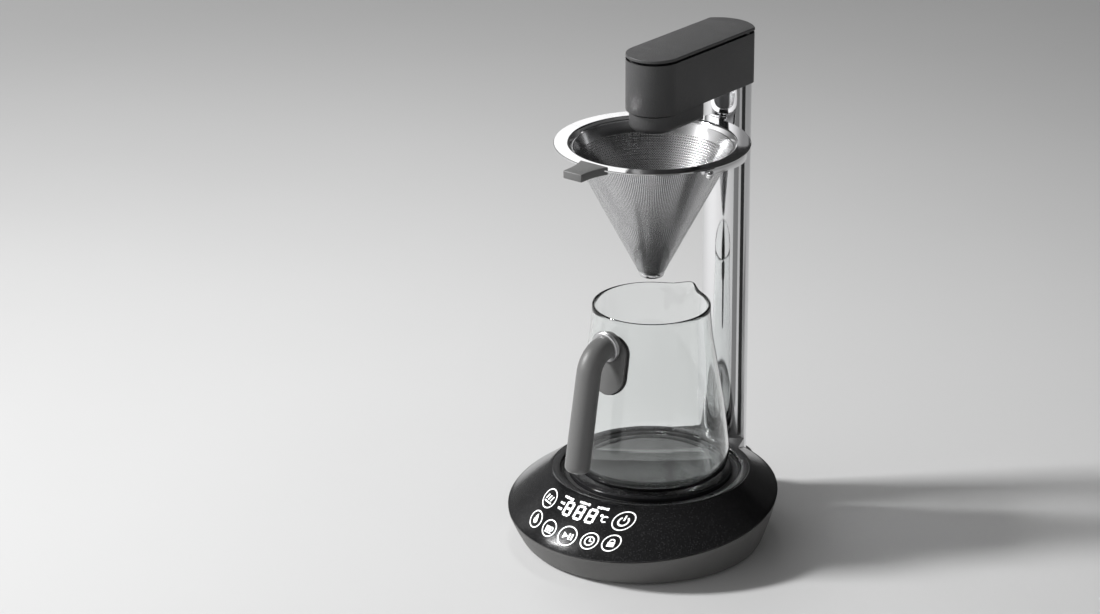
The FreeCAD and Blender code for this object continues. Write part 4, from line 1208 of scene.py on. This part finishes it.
def disc(bm, u, v, r, steps=20):
    bmesh.ops.create_circle(bm, cap_ends=True, radius=r, segments=steps,
                            matrix=Matrix.Translation((u, v, 0)))


print("symbols are drawn", round(PRINT_LIFT / MM, 3), "mm above the cover")

# %% [markdown]
# The seven touch rings stand in two rows: one at each end of the display, and five along
# the seam with a larger one in the middle.  Each ring holds a plain picture made from
# discs, bars and rings, such as a drop, a cup, a clock or a lock.

# %% Touch rings and their pictures
LINE = 0.9 * MM
RINGS = {"heat": (-33.8, 33.5, 8.0), "power": (35.7, 34.2, 8.3), "drop": (-35.2, 15.0, 6.9),
         "cup": (-17.8, 14.4, 6.9), "start": (0.5, 14.2, 8.1), "clock": (19.2, 14.7, 7.0),
         "lock": (35.8, 15.5, 7.0)}


def arc(bm, u, v, r, start, sweep, thick=LINE):
    """Part of a ring, from a small edge that is turned about the centre."""
    ends = [bm.verts.new((u + (r + d) * math.cos(start), v + (r + d) * math.sin(start), 0))
            for d in (-thick / 2, thick / 2)]
    edge = bm.edges.new(ends)
    bmesh.ops.spin(bm, geom=ends + [edge], cent=(u, v, 0), axis=(0, 0, 1), angle=sweep,
                   steps=24)


def picture(bm, sign, u, v):
    """Plain picture inside a ring, drawn about its centre."""
    m = MM
    if sign == "heat":
        for dx in (-3.2, 0, 3.2):
            plate_at(bm, u + dx * m, v + 0.6 * m, 1.3 * m, 4.2 * m, lean_by=0.35, cuts=2)
        plate_at(bm, u, v - 3.0 * m, 9 * m, 1.1 * m, cuts=4)
    elif sign == "power":
        arc(bm, u, v - 0.4 * m, 3.6 * m, math.radians(125), math.radians(290), 1.3 * m)
        plate_at(bm, u, v + 2.4 * m, 1.3 * m, 4.6 * m)
    elif sign == "drop":
        disc(bm, u, v - 1.0 * m, 2.3 * m)
        bmesh.ops.create_circle(bm, cap_ends=True, radius=2.2 * m, segments=3,
                                matrix=Matrix.Translation((u, v + 2.3 * m, 0)))
    elif sign == "cup":
        plate_at(bm, u - 0.6 * m, v - 0.3 * m, 5.2 * m, 3.8 * m, cuts=3)
        arc(bm, u + 2.2 * m, v + 0.1 * m, 1.5 * m, -math.pi / 2, math.pi, 0.9 * m)
        plate_at(bm, u, v - 3.3 * m, 7 * m, 0.8 * m, cuts=3)
    elif sign == "start":
        bmesh.ops.create_circle(bm, cap_ends=True, radius=3.0 * m, segments=3,
                                matrix=Matrix.Translation((u - 2.2 * m, v, 0))
                                @ Matrix.Rotation(-math.pi / 2, 4, "Z"))
        for dx in (1.8, 4.2):
            plate_at(bm, u + dx * m, v, 1.4 * m, 5.0 * m)
    elif sign == "clock":
        annulus(bm, u, v, 3.9 * m, 2.9 * m, 32)
        plate_at(bm, u, v + 0.9 * m, 0.9 * m, 2.6 * m)
        plate_at(bm, u + 1.2 * m, v - 0.2 * m, 1.9 * m, 0.9 * m)
    else:
        plate_at(bm, u, v - 1.2 * m, 5.4 * m, 3.8 * m, cuts=3)
        arc(bm, u, v + 1.0 * m, 1.9 * m, 0, math.pi, 0.95 * m)


def touch_signs():
    bm = bmesh.new()
    for sign, (u, v, r) in RINGS.items():
        annulus(bm, u * MM, v * MM, r * MM, r * MM - LINE)
        picture(bm, sign, u * MM, v * MM)
    return wrap(bm, "touch_signs")


touch_signs()

# %% [markdown]
# The display shows three digits with all their segments lit, a degree sign, three small
# rows of blocks above them for its modes and two beside them.

# %% Display digits and mode marks
DIGIT_V = 33.9 * MM
DIGIT_W, DIGIT_H, STROKE = 7.6 * MM, 12.4 * MM, 1.9 * MM


def digit(bm, u, v):
    gap = 0.25 * MM
    wide, tall = DIGIT_W - STROKE - 2 * gap, (DIGIT_H - STROKE) / 2 - 2 * gap
    for k in (-1, 0, 1):
        plate_at(bm, u, v + k * (DIGIT_H - STROKE) / 2, wide, STROKE, cuts=3)
    for side in (-1, 1):
        for k in (-1, 1):
            plate_at(bm, u + side * (DIGIT_W - STROKE) / 2, v + k * (DIGIT_H - STROKE) / 4,
                     STROKE, tall)


def display():
    bm = bmesh.new()
    for u in (-10.6, -0.1, 10.4):
        digit(bm, u * MM, DIGIT_V)
    annulus(bm, 18.0 * MM, DIGIT_V + 2.2 * MM, 1.2 * MM, 0.5 * MM, 16)
    arc(bm, 21.6 * MM, DIGIT_V - 0.4 * MM, 2.3 * MM, math.radians(50), math.radians(260), 1.1 * MM)
    for middle, v, count in ((-15.2, 41.6, 4), (0.3, 42.2, 4), (15.9, 42.0, 4),
                             (-18.4, 36.0, 2), (-18.4, 31.4, 2)):
        for k in range(count):
            u = middle + 2.45 * (k - (count - 1) / 2)
            tall = 2.1 if k % 2 else 1.7
            plate_at(bm, u * MM, v * MM, 1.9 * MM, tall * MM)
    return wrap(bm, "display_digits")


display()

# %% [markdown]
# ## Stage
# The floor is a pale sheet, wide enough that its edge is never seen.  Its tone is a painted
# pool of light: brightest near the brewer and darker further out.  A faint mottling keeps it
# from looking computed.

# %% Floor


def floor_paint():
    paint, tree, shader = start_paint("floor_pale", Specular_IOR_Level=0.25)
    cloud = add(tree, "TexNoise", Vector=add(tree, "TexCoord").outputs["Object"], Scale=3.0,
                Detail=4.0)
    near = add(tree, "VectorMath", {"operation": "LENGTH"},
               _0=add(tree, "TexCoord").outputs["Object"])
    # Painted pool of light: the floor's tone is brighter near the brewer and darker far away.
    painted_light_pool = add(tree, "MapRange", {"interpolation_type": "SMOOTHSTEP"}, Value=near.outputs[1],
               From_Min=0.3, From_Max=1.5, To_Min=0.62, To_Max=0.40)
    tone = add(tree, "Math", {"operation": "MULTIPLY_ADD"}, _0=cloud.outputs[0], _1=0.03)
    tree.links.new(painted_light_pool.outputs[0], tone.inputs[2])
    color = add(tree, "CombineColor", Red=tone.outputs[0], Green=tone.outputs[0],
                Blue=tone.outputs[0])
    tree.links.new(color.outputs[0], shader.inputs["Base Color"])
    shader.inputs["Roughness"].default_value = 0.75
    return paint


def make_floor():
    bm = bmesh.new()
    bmesh.ops.create_circle(bm, cap_ends=True, radius=14, segments=64)
    mesh = bpy.data.meshes.new("floor")
    bm.to_mesh(mesh)
    bm.free()
    mesh.materials.append(floor_paint())
    floor = bpy.data.objects.new("floor", mesh)
    bpy.context.scene.collection.objects.link(floor)
    floor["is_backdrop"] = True
    return floor


make_floor()

# %% [markdown]
# ## Light
# The sky is bright low down at the front and left, nearly black behind and dark overhead.
# A square panel on the left is the key, so the shadow falls to the right.  A wide, weak one
# behind gives the flange its white, and a small one above adds a little to the rims.  A
# black flag and a grey one by the floor give the chrome the dark stripes a mirror needs.

# %% Sky and panels
FRONT_LEFT = (-0.775, -0.632, 0.0)
STRAIGHT_BEHIND = (-0.632, 0.775, 0.0)
SIDE_GLOW = (-0.8, 0.9, 0.35, 1.7)
BEHIND_GLOW = (0.1, 0.8, 1.0, 0.12)
HEIGHT_GLOW = (0.40, 0.56, 1.0, 0.10)
OVERHEAD_GLOW = (0.66, 0.86, 0.0, 0.04)
PANELS = (("key", (-1.84, -1.5, 1.8), (0, 0, 0.15), 0.45, 0.45, 108),
          ("steel_white", (-1.03, 1.06, 0.90), (0, 0, FLANGE_Z), 0.95, 0.26, 0.95),
          ("rim_light", (-0.35, 0.25, 1.5), (0, 0, 0.2), 0.3, 0.3, 2.5))


def along(tree, way):
    """How far the direction looked at goes along a given one."""
    seen = add(tree, "TexCoord").outputs["Generated"]
    return add(tree, "VectorMath", {"operation": "DOT_PRODUCT"}, _0=seen, _1=way).outputs[1]


def ramp(tree, value, start, end, first, last):
    """Go smoothly from the first strength to the last between two values."""
    return add(tree, "MapRange", {"interpolation_type": "SMOOTHSTEP"}, Value=value,
               From_Min=start, From_Max=end, To_Min=first, To_Max=last).outputs[0]


def sky():
    """Bright low at the front and left, nearly black behind, dark overhead."""
    world = bpy.data.worlds.new("studio")
    bpy.context.scene.world = world
    world.use_nodes = True
    tree = world.node_tree
    seen = add(tree, "TexCoord").outputs["Generated"]
    up = add(tree, "SeparateXYZ", Vector=seen).outputs[2]
    side = ramp(tree, along(tree, FRONT_LEFT), *SIDE_GLOW)
    behind = ramp(tree, along(tree, STRAIGHT_BEHIND), *BEHIND_GLOW)
    height = ramp(tree, up, *HEIGHT_GLOW)
    overhead = ramp(tree, up, *OVERHEAD_GLOW)
    round_about = add(tree, "Math", {"operation": "MULTIPLY"}, _0=side, _1=behind)
    glow = add(tree, "Math", {"operation": "MULTIPLY_ADD"}, _0=round_about.outputs[0],
               _1=height, _2=overhead)
    back = tree.nodes["Background"]
    back.inputs["Color"].default_value = (1, 1, 1, 1)
    tree.links.new(glow.outputs[0], back.inputs["Strength"])
    return world


def panel(name, spot, target, wide, tall, power, color=(1, 1, 1)):
    data = bpy.data.lights.new(name, "AREA")
    data.shape, data.size, data.size_y = "RECTANGLE", wide, tall
    data.energy, data.color = power, color
    light = bpy.data.objects.new(name, data)
    light.matrix_world = Matrix.Translation(spot) @ (
        (Vector(target) - Vector(spot)).to_track_quat("-Z", "Y").to_matrix().to_4x4())
    light.visible_camera = False
    bpy.context.scene.collection.objects.link(light)
    return light


bpy.context.scene.view_settings.view_transform = "Standard"
sky()
for row in PANELS:
    panel(*row)
print("panels:", [row[0] for row in PANELS])

# %% Dark flags
CARD_HEIGHT = 0.4 * MM
CARD_FAR = 1.3
FLAG_TONES = {}
for tone, level in (("black", 0.01), ("grey", 0.2)):
    FLAG_TONES[tone] = start_paint(f"flag_{tone}", Base_Color=(level, level, level, 1),
                                   Roughness=0.9)[0]


def flag(name, tone, start, end, near, far):
    """Dark fan on the floor, centred on the column, that only reflections can see."""
    bm = bmesh.new()
    ends = [bm.verts.new((r * math.cos(start), COLUMN_Y + r * math.sin(start), CARD_HEIGHT))
            for r in (near, far)]
    edge = bm.edges.new(ends)
    bmesh.ops.spin(bm, geom=ends + [edge], cent=(0, COLUMN_Y, 0), axis=(0, 0, 1),
                   angle=end - start, steps=12)
    mesh = bpy.data.meshes.new(name)
    bm.to_mesh(mesh)
    bm.free()
    mesh.materials.append(FLAG_TONES[tone])
    card = bpy.data.objects.new(name, mesh)
    card.visible_camera = card.visible_shadow = False
    card.visible_diffuse = card.visible_transmission = False
    bpy.context.scene.collection.objects.link(card)
    card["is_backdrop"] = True
    return card


flag("flag_right", "black", math.radians(-11), math.radians(17), 0.14, CARD_FAR)
flag("flag_front", "grey", math.radians(-52), math.radians(-26), 0.2, CARD_FAR)

# %% [markdown]
# ## Finish
# The two boxes are printed, so that the dressed model can be compared with the packed
# one.

# %% Print both sizes and finish
dressed_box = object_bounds()
for label, (low, high) in (("packed", cad_box), ("dressed", dressed_box)):
    print(label, [round(v / MM, 2) for v in (*low, *high)])
